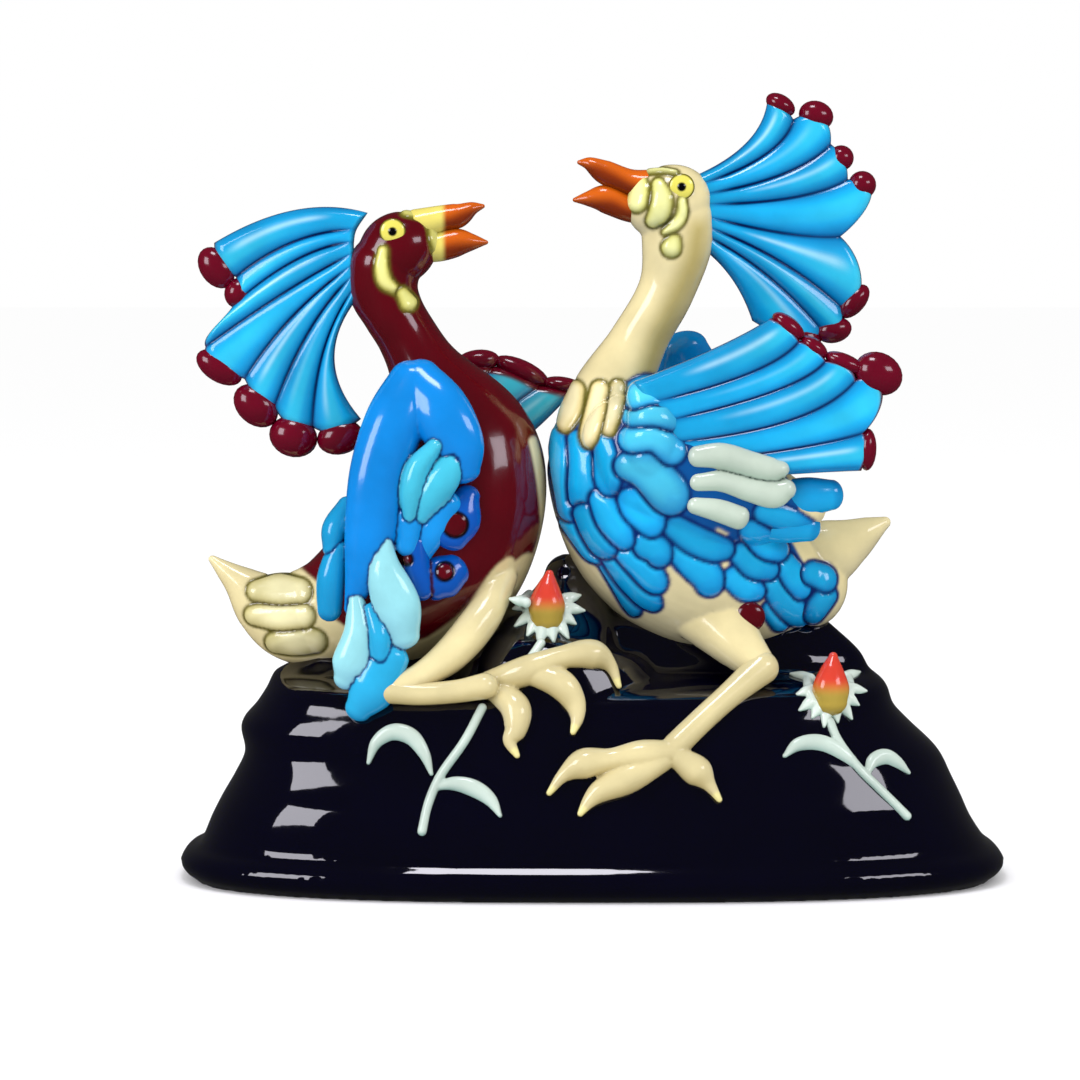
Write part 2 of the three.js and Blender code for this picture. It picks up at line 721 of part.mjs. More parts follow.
function legOf(thigh, shank, side) {
  const turned = (stations) => stations.map(([x, y, z, ...sizes]) => [x, -side * y, z, ...sizes]);
  return together(limb(turned(thigh)), limb(turned(shank)));
}
const rightThigh = [[42, -20, 22, 14, 9], [53, -26, 10, 9, 8], [60, -31, 3, 6.4, 6]];
const rightShank = [[61, -32, 3, 6.2, 5.8], [49, -39, -6, 4.8, 4.8], [38, -45, -15, 4.6, 4.6],
  [29, -50, -23, 4.8, 4.6]];
const leftThigh = [[-41, -24, 26, 9, 7], [-52, -31, 12, 10, 8], [-66, -38, 1, 7.6, 7],
  [-73, -41, -4, 5, 5]];
const leftShank = [[-75, -42, -4, 4.8, 4.8], [-62, -44, -5, 4.2, 4.2], [-49, -45, -4, 4.2, 4.2],
  [-39, -46, -2, 4.8, 4.8]];

const rightThighSkin = skinOf(together(rightBody, legOf(rightThigh, rightShank, -1))());
const rightThighBead = bead(
  55, rightThighSkin(55, 20 + perchHeight), 20, thighBeadRadius, { flat: 0.5 });

// A toe is a row of x, z points; its last two are the claw
function toeOf(points, side) {
  const last = points.length - 1;
  const stations = points.map(([x, z], i) => {
    const claw = i === last ? 0.25 : 0.62;
    const radius = i < last - 1 ? toeRadius + knuckle * (i % 2) : toeRadius * claw;
    return [x, z, radius, radius];
  });
  const laid = laidOn(rockSkin, stations, { side });
  return limb(laid.map(([x, y, z, width, depth]) => [x, y + side * 0.3 * toeRadius, z, width, depth]),
    { sides: 5, domes: [] });
}
function footOf(toes, side) {
  return together(...toes.map((points) => toeOf(points, side)));
}
const rightToes = [
  [[28, -25], [17, -26], [6, -27.5], [-4, -29], [-11, -33], [-16, -39]],
  [[24, -28], [12, -34], [2, -38.5], [-2, -42], [-5, -46]],
  [[30, -27], [37, -32], [41, -36.5], [44.5, -41.5]],
];
const leftToes = [
  [[-38, -2], [-24, 3], [-12, 7.5], [0, 8], [6, 4], [9, -3]],
  [[-22, 2], [-12, -1.5], [-7, -8], [-6, -13], [-7.5, -18]],
  [[-36, -4], [-28, -10], [-28, -17], [-30, -21], [-27.5, -26]],
];
const legs = {
  right_near_leg: [legOf(rightThigh, rightShank, -1), rightBody],
  right_far_leg: [legOf(rightThigh, rightShank, 1), rightBody],
  left_near_leg: [legOf(leftThigh, leftShank, -1), leftBody],
  left_far_leg: [legOf(leftThigh, leftShank, 1), leftBody],
};
const feet = {
  right_near_foot: [footOf(rightToes, -1), 'right_near_leg'],
  right_far_foot: [footOf(rightToes, 1), 'right_far_leg'],
  left_near_foot: [footOf(leftToes, -1), 'left_near_leg'],
  left_far_foot: [footOf(leftToes, 1), 'left_far_leg'],
};

// Flowers modelled on the front of the rock
function sprig(stations) {
  return limb(laidOn(rockSkin, stations), { sides: 5 });
}
function flowerBud([x, z]) {
  return sprig([
    [x, z, 0.9 * budRadius, 0.7 * budRadius],
    [x, z + 0.25 * budHeight, budRadius, 0.8 * budRadius],
    [x + 0.3, z + 0.62 * budHeight, 0.65 * budRadius, 0.6 * budRadius],
    [x + 1, z + 0.92 * budHeight, 0.2 * budRadius, 0.2 * budRadius],
  ]);
}
function flowerCalyx([x, z]) {
  const petals = [];
  for (let i = 0; i < petalCount; i += 1) {
    const angle = Math.PI * (0.96 + (1.08 * i) / (petalCount - 1));
    const reach = (share) => budRadius * 0.8 * Math.min(1, 0.4 + share) + share * petalLength;
    petals.push(limb(laidOn(rockSkin, [0, 1].map((share) => [
      x + reach(share) * Math.cos(angle),
      z + 2 + reach(share) * Math.sin(angle),
      petalRadius * (1.1 - 0.7 * share),
      petalRadius,
    ])), { sides: 4, domes: [] }));
  }
  const seat = laidOn(rockSkin, [[x, z, budRadius, 2 * petalRadius]])[0];
  const receptacle = bead(x, seat[1], z, budRadius, { flat: 2 * petalRadius / budRadius });
  return together(receptacle, ...petals);
}
function flowerStem(points) {
  return sprig(points.map(([x, z]) => [x, z, stemRadius, stemRadius]));
}
function flowerLeaf(points) {
  const last = points.length - 1;
  return sprig(points.map(([x, z], i) => {
    const share = 0.25 + 0.75 * Math.sin((Math.PI * i) / last);
    return [x, z, leafHalfWidth * share, leafDepth * (0.5 + 0.5 * share)];
  }));
}
const rightFlower = {
  bud: flowerBud([84, -8]),
  calyx: flowerCalyx([84, -8]),
  stem: together(
    flowerStem([[83, -14], [86, -22], [97, -35], [109, -47]]),
    flowerLeaf([[91, -28], [85, -22], [77, -20], [69, -26]]),
    flowerLeaf([[96, -33], [101, -25], [107, -25], [113, -33]]),
  ),
};
const middleFlower = {
  bud: flowerBud([-18, 18]),
  calyx: together(flowerCalyx([-18, 18]), flowerStem([[-22, 14], [-29, 9], [-34, 3]])),
  stem: together(
    flowerStem([[-40, -10], [-46, -21], [-55, -34], [-61, -52]]),
    flowerLeaf([[-57, -35], [-62, -23], [-70, -18], [-76, -22], [-81, -30]]),
    flowerLeaf([[-55, -37], [-49, -32], [-42, -36], [-35, -46]]),
  ),
};

// Assembly
const group = new THREE.Group();
function add(name, solid, material) {
  const geometry = largestBody(geometryOf(solid));
  geometry.translate(0, 0, -perchHeight);
  geometry.computeVertexNormals();
  const mesh = new THREE.Mesh(geometry, material);
  mesh.name = name;
  mesh.position.set(0, 0, perchHeight);
  group.add(mesh);
}

add('base', seated(rock, rightBody, leftBody).subtract(hollow()), navy);

const rightUnder = [rightBody, rightNearWing, rightPrimaries];
add('right_body', rightBody(), blue);
add('right_tail', seated(rightTail, rightBody), cream);
add('right_upper_beak', seated(rightUpperBeak, rightBody), orange);
add('right_lower_beak', seated(rightLowerBeak, rightBody, rightUpperBeak), orange);
add('right_crest', seated(rightCrest, rightBody), blue);
add('right_near_eye', seated(eyeOn(rightBody, rightEyePlace, -1), rightBody), yellow);
add('right_far_eye', seated(eyeOn(rightBody, rightEyePlace, 1), rightBody), yellow);
add('right_near_wing', seated(rightNearWing, rightBody), turquoise);
add('right_primaries', seated(rightPrimaries, rightBody, rightNearWing, rightTail), blue);
add('right_pale_feathers', seated(rightPaleFeathers, ...rightUnder), paleGrey);
add('right_neck_feathers', seated(rightNeckFeathers, ...rightUnder), cream);
add('right_thigh_bead',
  seated(rightThighBead, rightBody, rock, legs.right_near_leg[0]), maroon);
add('right_far_wing', seated(rightFarWing, rightBody, rightTail), royalBlue);
add('right_far_feathers', seated(rightFarFeathers, rightBody, rightFarWing, rightTail), blue);

add('left_body', seated(leftBody, rightBody), maroon);
add('left_tail', seated(leftTail, leftBody, rock), cream);
add('left_upper_beak', seated(leftUpperBeak, leftBody), orange);
add('left_lower_beak', seated(leftLowerBeak, leftBody, leftUpperBeak), orange);
add('left_crest', seated(leftCrest, leftBody), blue);
add('left_near_eye', seated(eyeOn(leftBody, leftEyePlace, -1), leftBody), yellow);
add('left_far_eye', seated(eyeOn(leftBody, leftEyePlace, 1), leftBody), yellow);
add('left_near_wing', seated(leftWing, leftBody), royalBlue);
add('left_inner_feathers', seated(leftInnerFeathers, leftBody, leftWing), blue);
add('left_eye_feathers', seated(leftEyeFeathers, leftBody, leftWing, leftInnerFeathers), royalBlue);
add('left_lower_feathers',
  seated(leftLowerFeathers, leftBody, leftWing, leftInnerFeathers, leftEyeFeathers, rock), turquoise);
add('left_edge_feather', seated(
  leftEdgeFeather, leftBody, leftWing, leftLowerFeathers, leftTail), turquoise);
add('left_far_wing', seated(leftFarWing, leftBody, rightBody), turquoise);

const overLeg = [leftLowerFeathers, leftWing, leftEyeFeathers, leftEdgeFeather];
for (const [name, [shape, body]] of Object.entries(legs)) {
  add(name, seated(shape, body, rock, rightBody, ...overLeg), cream);
}
for (const [name, [shape, leg]] of Object.entries(feet)) {
  add(name, seated(shape, rock, legs[leg][0], rightBody, leftBody), cream);
}

const overFlower = [rock, rightBody, leftBody, legs.left_near_leg[0], feet.left_near_foot[0],
  leftLowerFeathers];
const flowers = { right: rightFlower, middle: middleFlower };
for (const [name, flower] of Object.entries(flowers)) {
  add(`${name}_flower_calyx`, seated(flower.calyx, ...overFlower), leafGreen);
  add(`${name}_flower_bud`, seated(flower.bud, ...overFlower, flower.calyx), budRed);
  add(`${name}_flower_stem`, seated(flower.stem, ...overFlower, flower.calyx), leafGreen);
}

export default group;
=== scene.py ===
import math

import bpy
import numpy as np
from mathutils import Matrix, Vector
from mathutils.bvhtree import BVHTree
from mathutils.kdtree import KDTree


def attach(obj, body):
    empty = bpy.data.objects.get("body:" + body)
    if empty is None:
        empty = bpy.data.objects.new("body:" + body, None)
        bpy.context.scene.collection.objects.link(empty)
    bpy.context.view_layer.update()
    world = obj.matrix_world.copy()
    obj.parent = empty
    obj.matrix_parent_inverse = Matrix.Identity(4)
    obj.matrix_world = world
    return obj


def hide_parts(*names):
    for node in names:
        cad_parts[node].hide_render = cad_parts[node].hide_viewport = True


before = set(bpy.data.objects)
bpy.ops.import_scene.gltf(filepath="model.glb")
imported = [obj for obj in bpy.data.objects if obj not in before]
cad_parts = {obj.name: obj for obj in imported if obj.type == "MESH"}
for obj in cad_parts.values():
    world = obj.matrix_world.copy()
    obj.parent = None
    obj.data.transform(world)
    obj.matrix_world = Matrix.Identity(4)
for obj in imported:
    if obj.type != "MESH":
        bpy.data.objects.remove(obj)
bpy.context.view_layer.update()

mm = 0.001
perch = 78.0     # height of the rock; birds, flowers and boulder give their heights from it
coarse = 1.0     # a quick try uses coarser clay
golden = 0.618     # spreads tones evenly over a row of feathers
sides = (("Near", -1), ("Far", 1))

def choose(*things):
    bpy.ops.object.select_all(action="DESELECT")
    for thing in things:
        thing.select_set(True)
    bpy.context.view_layer.objects.active = things[0]

def rowsOf(items, field, width, kind=np.float32):
    flat = np.empty(len(items) * width, kind)
    items.foreach_get(field, flat)
    return flat.reshape(-1, width)

def pointsOf(thing):
    return rowsOf(thing.data.vertices, "co", 3).astype(float) / mm

def movePoints(thing, points):
    thing.data.vertices.foreach_set("co", (points * mm).astype(np.float32).ravel())
    thing.data.update()

def normalsOf(thing):
    return rowsOf(thing.data.vertex_normals, "vector", 3).astype(float)

def edgesOf(thing):
    return rowsOf(thing.data.edges, "vertices", 2, np.int32)

def blurred(edges, values, rounds):
    count = len(values)
    degree = np.bincount(edges.ravel(), minlength=count).clip(1)
    wide = values.reshape(count, -1)
    for _ in range(rounds):
        total = np.empty_like(wide)
        for k in range(wide.shape[1]):
            column = wide[:, k]
            total[:, k] = np.bincount(edges[:, 0], column[edges[:, 1]], count)
            total[:, k] += np.bincount(edges[:, 1], column[edges[:, 0]], count)
        wide = 0.5 * wide + 0.5 * total / degree[:, None]
    return wide.reshape(values.shape)

def ramp(low, high, value):
    t = np.clip((value - low) / (high - low), 0, 1)
    return t * t * (3 - 2 * t)

def mixed(a, b, share):
    share = np.asarray(share)[..., None]
    return a * (1 - share) + b * share

# Stations are joined by a smooth curve; even keeps its shape where they stand at uneven distances
def splineAt(points, shares, even=False):
    points = np.asarray(points, float)
    last = len(points) - 1
    place = np.clip(np.asarray(shares, float), 0, 1) * last
    index = np.minimum(place.astype(int), last - 1)
    t = (place - index)[:, None]
    before = np.vstack([2 * points[0] - points[1], points, 2 * points[-1] - points[-2]])
    p0, p1, p2, p3 = (before[index + k] for k in range(4))
    t1 = (p2 - p0) / 2
    t2 = (p3 - p1) / 2
    if even:
        d0, d1, d2 = (np.linalg.norm(b - a, axis=1)[:, None].clip(1e-6) ** 0.5
                      for a, b in ((p0, p1), (p1, p2), (p2, p3)))
        t1 = ((p1 - p0) / d0 - (p2 - p0) / (d0 + d1) + (p2 - p1) / d1) * d1
        t2 = ((p2 - p1) / d1 - (p3 - p1) / (d1 + d2) + (p3 - p2) / d2) * d1
    c2 = 3 * (p2 - p1) - 2 * t1 - t2
    c3 = 2 * (p1 - p2) + t1 + t2
    return p1 + t1 * t + c2 * t ** 2 + c3 * t ** 3

# Colours are given as a screen shows them; the shader wants them linear
def shade(red, green, blue):
    return np.array([(c / 255) ** 2.2 for c in (red, green, blue)])

cream = shade(220, 206, 154)
olive = shade(96, 90, 28)
skyBlue = shade(24, 162, 214)
brightBlue = shade(4, 124, 192)
royalBlue = shade(6, 80, 168)
teal = shade(24, 120, 172)
inkBlue = shade(4, 40, 100)
deepBlue = shade(6, 76, 138)
turquoise = shade(66, 182, 208)
paleTeal = shade(140, 205, 212)
maroon = shade(84, 2, 20)
yellow = shade(222, 212, 92)
black = shade(8, 8, 8)
navy = shade(6, 4, 22)

def painted(thing, colour):
    layer = thing.data.color_attributes.new("glaze", "FLOAT_COLOR", "POINT")
    rgba = np.ones((len(thing.data.vertices), 4), np.float32)
    rgba[:, :3] = colour
    layer.data.foreach_set("color", rgba.ravel())
    return thing

def sphereAt(name, around, rings):
    bpy.ops.mesh.primitive_uv_sphere_add(segments=around, ring_count=rings, radius=1)
    ball = bpy.context.object
    ball.name = name
    return ball

# A sphere drawn out into a limb. A station is x, y, z, half width and half depth.
def limb(name, stations, around=28, rings=56, dome=7):
    ball = sphereAt(name, around, rings)
    unit = pointsOf(ball) * mm
    ring = np.rint(np.arccos(np.clip(unit[:, 2], -1, 1)) / math.pi * rings).astype(int)
    angle = np.arctan2(unit[:, 1], unit[:, 0])
    stations = np.array(stations, float)
    centres, sizes = stations[:, :3] + [0, 0, perch], stations[:, 3:]
    k = np.arange(rings + 1)
    share = np.clip((k - dome) / (rings - 2 * dome), 0, 1)
    start = np.clip(1 - k / dome, 0, 1) * math.pi / 2
    end = np.clip(1 - (rings - k) / dome, 0, 1) * math.pi / 2
    size = splineAt(sizes, share)
    centre = splineAt(centres, share, even=True)
    step = 0.001
    tangent = (splineAt(centres, np.minimum(share + step, 1), even=True)
               - splineAt(centres, np.maximum(share - step, 0), even=True))
    tangent /= np.linalg.norm(tangent, axis=1)[:, None]
    up = np.array([0, 1.0, 0]) - tangent * tangent[:, 1:2]
    up /= np.linalg.norm(up, axis=1)[:, None]
    side = np.cross(up, tangent)
    reach = size.min(axis=1) * (np.sin(end) - np.sin(start))
    shrink = np.cos(start) * np.cos(end)
    width = (size[:, 0] * shrink)[ring] * np.cos(angle)
    depth = (size[:, 1] * shrink)[ring] * np.sin(angle)
    middle = (centre + tangent * reach[:, None])[ring]
    movePoints(ball, middle + side[ring] * width[:, None] + up[ring] * depth[:, None])
    return ball

# A ball that is stretched, flattened in depth and turned
def pebble(name, x, y, z, radius, stretch=1, turn=0, flat=0.8, around=24):
    ball = sphereAt(name, around, around // 2)
    unit = pointsOf(ball) * mm * [radius * stretch, radius * flat, radius]
    c, s = math.cos(turn), math.sin(turn)
    turned = np.column_stack([
        c * unit[:, 0] - s * unit[:, 2], unit[:, 1], s * unit[:, 0] + c * unit[:, 2]])
    movePoints(ball, turned + [x, y, z + perch])
    return ball

def outward(thing):
    choose(thing)
    bpy.ops.object.mode_set(mode="EDIT")
    bpy.ops.mesh.select_all(action="SELECT")
    bpy.ops.mesh.remove_doubles(threshold=1e-6)
    bpy.ops.mesh.normals_make_consistent(inside=False)
    bpy.ops.object.mode_set(mode="OBJECT")
    return thing

def joinedAs(name, things):
    choose(*things)
    if len(things) > 1:
        bpy.ops.object.join()
    thing = bpy.context.object
    thing.name = name
    thing.data.name = name
    bpy.ops.object.shade_smooth()
    return thing

# Overlapping lumps of clay are pressed into one skin and smoothed
def fused(name, things, grain, smoothing=6):
    thing = joinedAs(name, things)
    clay = thing.modifiers.new("clay", "REMESH")
    clay.mode = "VOXEL"
    clay.voxel_size = grain * coarse * mm
    bpy.ops.object.modifier_apply(modifier=clay.name)
    sponge = thing.modifiers.new("sponge", "SMOOTH")
    sponge.factor = 0.5
    sponge.iterations = max(1, round(smoothing / coarse))
    bpy.ops.object.modifier_apply(modifier=sponge.name)
    bpy.ops.object.shade_smooth()
    return thing

# Lumps of several glazes in one skin: each spot takes the glaze of the nearest lump,
# with a drawn and sunk line where two lumps meet
def fusedGlazes(name, lumps, grain, line=inkBlue, lineWidth=1.0):
    smoothing, blending, lineDepth = 5, 8, 0.35
    clouds = [np.vstack([pointsOf(thing) for thing in things]) for things, colour in lumps]
    palette = np.array([colour for things, colour in lumps])
    tree = KDTree(sum(len(cloud) for cloud in clouds))
    for number, cloud in enumerate(clouds):
        for point in cloud:
            tree.insert(point, number)
    tree.balance()
    thing = fused(name, [thing for things, colour in lumps for thing in things], grain, smoothing)
    owner = np.array([tree.find(point)[1] for point in pointsOf(thing)])
    skin = Skin(thing, cream)
    shares = blurred(skin.edges, np.eye(len(lumps))[owner], max(2, round(blending / coarse)))
    ranked = np.sort(shares, axis=1)
    seam = 1 - ramp(0, 0.9 * lineWidth, ranked[:, -1] - ranked[:, -2])
    skin.colour = mixed(palette[shares.argmax(axis=1)], line, 0.95 * ramp(0.02, 0.5, seam))
    skin.height -= lineDepth * seam
    return skin

# A stroke is a row of x, z, half width that is laid on the skin, seen from the front.
# Gives how deep inside the stroke each point lies and how far along it.
def strokeDepth(x, z, stroke, bends=5):
    inside = np.full(len(x), -np.inf)
    along = np.zeros(len(x))
    if len(stroke) == 1:
        return stroke[0, 2] - np.hypot(x - stroke[0, 0], z - stroke[0, 1]), along
    stroke = splineAt(stroke, np.linspace(0, 1, (len(stroke) - 1) * bends + 1))
    for i in range(len(stroke) - 1):
        (ax, az, ar), (bx, bz, br) = stroke[i], stroke[i + 1]
        dx, dz = bx - ax, bz - az
        t = np.clip(((x - ax) * dx + (z - az) * dz) / max(dx * dx + dz * dz, 1e-9), 0, 1)
        depth = ar + (br - ar) * t - np.hypot(x - ax - t * dx, z - az - t * dz)
        better = depth > inside
        inside = np.where(better, depth, inside)
        along = np.where(better, (i + t) / (len(stroke) - 1), along)
    return inside, along

class Skin:
    def __init__(self, thing, colour=None):
        self.thing = thing
        self.points = pointsOf(thing)
        self.normals = normalsOf(thing)
        self.edges = edgesOf(thing)
        self.x, self.y, self.z = (self.points - [0, 0, perch]).T
        self.height = np.zeros(len(self.x))
        self.where = np.ones(len(self.x), bool)
        if colour is None:
            paint = thing.data.color_attributes["glaze"].data
            self.colour = rowsOf(paint, "color", 4)[:, :3].astype(float)
        else:
            self.colour = np.tile(colour, (len(self.x), 1))

    # Points near a stroke, how deep inside it and how far along
    def under(self, stroke, margin):
        stroke = np.array(stroke, float)
        reach = stroke[:, 2].max() + margin
        low, high = stroke.min(axis=0) - reach, stroke.max(axis=0) + reach
        pick = np.flatnonzero((self.x > low[0]) & (self.x < high[0]) & (self.z > low[1])
                              & (self.z < high[1]) & self.where)
        return pick, *strokeDepth(self.x[pick], self.z[pick], stroke)

    # Flat glaze with a soft edge
    def wash(self, strokes, colour, edge=0.8, strength=1.0):
        for stroke in strokes:
            pick, inside, _ = self.under(stroke, 3 + edge)
            share = ramp(-edge, edge, inside) * strength
            self.colour[pick] = mixed(self.colour[pick], colour, share)

    # Raised petals, later ones over earlier ones, with a drawn line round each
    def petals(self, strokes, light, dark, line, depth=1.2, grow=0, lineWidth=0.8, tip=0.4):
        for number, stroke in enumerate(strokes):
            pick, inside, along = self.under(stroke, 3 + grow)
            inside = inside + grow
            width = max(s[2] for s in stroke) + grow
            cover = ramp(-1.1, -0.2, inside)
            swell = depth * (0.6 + 0.4 * along) * np.sqrt(np.clip(inside / (0.7 * width), 0, 1))
            swell -= 0.3 * depth * (1 - ramp(0, 0.8, np.abs(inside)))
            self.height[pick] = self.height[pick] * (1 - cover) + swell * cover
            share = 0.3 + 0.7 * ramp(0.15, 0.55 * width + 0.6, inside)
            share = share * (1 - tip * ramp(0.55, 1, along))
            tone = 0.84 + 0.34 * math.modf(number * golden)[0]
            fill = mixed(dark, light, share) * tone
            fill = mixed(fill, line, 1 - ramp(0.1, lineWidth, inside))
            self.colour[pick] = mixed(self.colour[pick], fill, ramp(-1.0, -0.4, inside))

    # Raises the relief and melts the glaze, which runs thin on ridges and pools in grooves; sides that
    # face down get painted shade. The last argument is the share of each colour left where the glaze
    # pools thickest, and it also sets how dark the painted shade turns each colour.
    def fire(self, groove=1.0, ridge=0.35, poolAndShade=(0.25, 0.3, 0.5)):
        self.height = blurred(self.edges, self.height, max(1, round(2 / coarse)))
        self.colour = blurred(self.edges, self.colour, 1)
        movePoints(self.thing, self.points + self.normals * self.height[:, None])
        points, normals, poolAndShade = pointsOf(self.thing), normalsOf(self.thing), np.array(poolAndShade)
        even = blurred(self.edges, points, max(1, round(6 / coarse)))
        offset = blurred(self.edges, ((even - points) * normals).sum(axis=1), 2)
        hollow = ramp(0, 0.32, offset) * groove
        crown = ramp(0, 0.3, -offset) * ridge
        # Painted shade: sides that face down are darkened as if in shadow from the light above.
        paintedUnderShade = 0.6 * ramp(0.25, -0.95, normals[:, 2])
        colour = self.colour * (1 - hollow[:, None] * (1 - poolAndShade))
        colour = mixed(colour, np.clip(colour, 0, 1) ** 0.65, crown)
        colour = mixed(colour, colour * (poolAndShade + 0.1), paintedUnderShade)
        for old in list(self.thing.data.color_attributes):
            self.thing.data.color_attributes.remove(old)
        painted(self.thing, np.clip(colour, 0, 1))

# A fan of plumes. Each rib is the line between two plumes: root, middle and tip as x, z pairs.
# Gives the ends and the control point of the curve at a share of the way across.
def fanLine(look, share):
    ribs = np.array(look["ribs"], float)
    root, middle, tip = (splineAt(ribs[:, k], share) for k in range(3))
    return root, 2 * middle - (root + tip) / 2, tip

def fan(name, look):
    plumes = len(look["ribs"]) - 1
    perPlume, rows = round(look["perPlume"] / coarse), round(look["rows"] / coarse)
    corners = splineAt(np.array(look["ribs"], float)[:, 2], np.linspace(0, 1, plumes + 1))
    widths = np.linalg.norm(np.diff(corners, axis=0), axis=1)
    near = 0.01
    sheets = []
    for side in (-1, 1):
        bpy.ops.mesh.primitive_grid_add(x_subdivisions=plumes * perPlume, y_subdivisions=rows, size=2)
        sheet = bpy.context.object
        unit = pointsOf(sheet) * mm
        u = np.clip((unit[:, 0] + 1) / 2, 0, 1)
        v = np.clip((unit[:, 1] + 1) / 2, 0, 1)
        shares = np.array([(1 - v) ** 2, 2 * v * (1 - v), v ** 2])[:, :, None]
        root, control, tip = fanLine(look, u)
        point = (shares * [root, control, tip]).sum(axis=0)
        tangent = (control - root) * (1 - v)[:, None] + (tip - control) * v[:, None]
        tangent /= np.linalg.norm(tangent, axis=1)[:, None]
        plume = np.minimum((u * plumes + 1e-6).astype(int), plumes - 1)
        across = np.clip(u * plumes - plume, 0, 1)
        swelling = np.sin(math.pi * across)
        scallop = (widths * look["scallops"])[plume]
        point += tangent * (scallop * swelling * v ** 3)[:, None]
        ahead = np.array(fanLine(look, np.clip(u + near, 0, 1)))
        behind = np.array(fanLine(look, np.clip(u - near, 0, 1)))
        spread = np.linalg.norm(((ahead - behind) * shares).sum(axis=0), axis=1) / (2 * near)
        spread = np.where((u < near) | (u > 1 - near), spread * 2, spread) / plumes
        groove = np.minimum(across, 1 - across) * spread
        length = np.linalg.norm(tip - root, axis=1)
        border = np.minimum(np.minimum(u, 1 - u) * plumes * spread,
                            np.minimum(1.5 * v, 1 - v) * length)
        roll = swelling ** look["roll"]
        relief = look["relief"] * ramp(0.0, 0.22, v)
        half = np.interp(v, (0, 1), look["thickness"]) / 2
        half *= 1 - relief * (1 - roll)
        half *= np.sqrt(1 - (1 - np.clip(border / look["edge"], 0, 1)) ** 2)
        middle = np.interp(v, (0, 1), look["y"])
        movePoints(sheet, np.column_stack([point[:, 0], middle + side * half, point[:, 1] + perch]))
        share = 0.25 + 0.75 * ramp(0.15, 0.85, swelling) * (0.75 + 0.25 * v)
        tone = 0.88 + 0.24 * np.modf(plume * golden)[0]
        colour = mixed(look["dark"], look["light"], share) * tone[:, None]
        colour = mixed(colour, look["thin"], 0.5 * ramp(0.7, 1, swelling) * ramp(0.3, 0.9, v))
        # Painted highlight: a pale streak along each plume, where the glaze would catch the light.
        highlightStreak = np.exp(-((across - look["highlightStreak"]) / look["highlightStreakWidth"]) ** 2)
        highlightStreak *= np.array(look["highlightStreaks"])[plume % len(look["highlightStreaks"])]
        colour = mixed(colour, look["highlightStreakColour"], highlightStreak * ramp(0.2, 0.4, v) * ramp(0.96, 0.8, v))
        line = (1 - ramp(0.25, look["lineWidth"], groove)) * ramp(0.03, 0.2, v)
        colour = mixed(colour, look["line"], line)
        rim = ramp(look["rimWidth"] + 0.6, look["rimWidth"], (1 - v) * length)
        sheets.append(painted(sheet, mixed(colour, look["rim"], rim)))
    return outward(joinedAs(name, sheets))

# Beads: plume, place across it, radius, stretch along the rim and reach beyond the rim
def rimBeads(name, look):
    beads = []
    ribs = np.array(look["ribs"], float)
    plumes = len(ribs) - 1
    for plume, across, radius, stretch, beyond in look["beads"]:
        spots = np.array([across, across - 0.1, across + 0.1])
        _, control, tip = fanLine(look, (plume + spots) / plumes)
        tangent = tip - control
        tangent /= np.linalg.norm(tangent, axis=1)[:, None]
        width = np.linalg.norm(ribs[plume + 1, 2] - ribs[plume, 2])
        rim = tip + tangent * (width * look["scallops"][plume] * np.sin(math.pi * spots))[:, None]
        x, z = rim[0] + tangent[0] * (beyond - look["beadSink"])
        radius *= look["beadSize"]
        turn = math.atan2(rim[2, 1] - rim[1, 1], rim[2, 0] - rim[1, 0])
        flat = max(0.8, look["beadDepth"] / radius)
        bead = pebble(f"{name}{plume}", x, look["y"][1], z, radius, stretch, turn, flat)
        beads.append(painted(bead, look["rim"]))
    return beads

def withInputs(node, **values):
    for name, value in values.items():
        node.inputs[name.replace("_", " ")].default_value = value
    return node

# Painted glaze under a clear coat, with soft clouds of tone and a slightly rippled surface
def glazeMaterial(name, look):
    material = bpy.data.materials.new(name)
    material.use_nodes = True
    nodes, links = material.node_tree.nodes, material.node_tree.links
    shader = withInputs(nodes["Principled BSDF"], Roughness=look["roughness"], IOR=look["ior"],
                        Coat_Weight=look["coat"], Coat_Roughness=0.03)
    place = nodes.new("ShaderNodeTexCoord")
    paint = nodes.new("ShaderNodeVertexColor")
    paint.layer_name = "glaze"
    clouds = withInputs(nodes.new("ShaderNodeTexNoise"), Scale=look["cloudScale"], Detail=5)
    span = withInputs(nodes.new("ShaderNodeMapRange"), From_Min=0.3, From_Max=0.7,
                      To_Min=1 - look["clouds"], To_Max=1 + look["clouds"])
    tint = nodes.new("ShaderNodeHueSaturation")
    ripple = withInputs(nodes.new("ShaderNodeTexNoise"), Scale=look["rippleScale"], Detail=2)
    bump = withInputs(nodes.new("ShaderNodeBump"), Strength=look["ripple"], Distance=mm)
    for source, output, target, socket in (
            (place, "Object", clouds, "Vector"), (place, "Object", ripple, "Vector"),
            (clouds, "Fac", span, "Value"), (span, "Result", tint, "Value"),
            (paint, "Color", tint, "Color"), (tint, "Color", shader, "Base Color"),
            (ripple, "Fac", bump, "Height"), (bump, "Normal", shader, "Normal"),
            (bump, "Normal", shader, "Coat Normal")):
        links.new(source.outputs[output], target.inputs[socket])
    return material

brightGlaze = glazeMaterial("brightGlaze", {
    "roughness": 0.16, "ior": 1.5, "coat": 0.5, "clouds": 0.1, "cloudScale": 60,
    "rippleScale": 90, "ripple": 0.12})
darkGlaze = glazeMaterial("darkGlaze", {
    "roughness": 0.05, "ior": 1.55, "coat": 0.6, "clouds": 0.15, "cloudScale": 40,
    "rippleScale": 40, "ripple": 0.2})

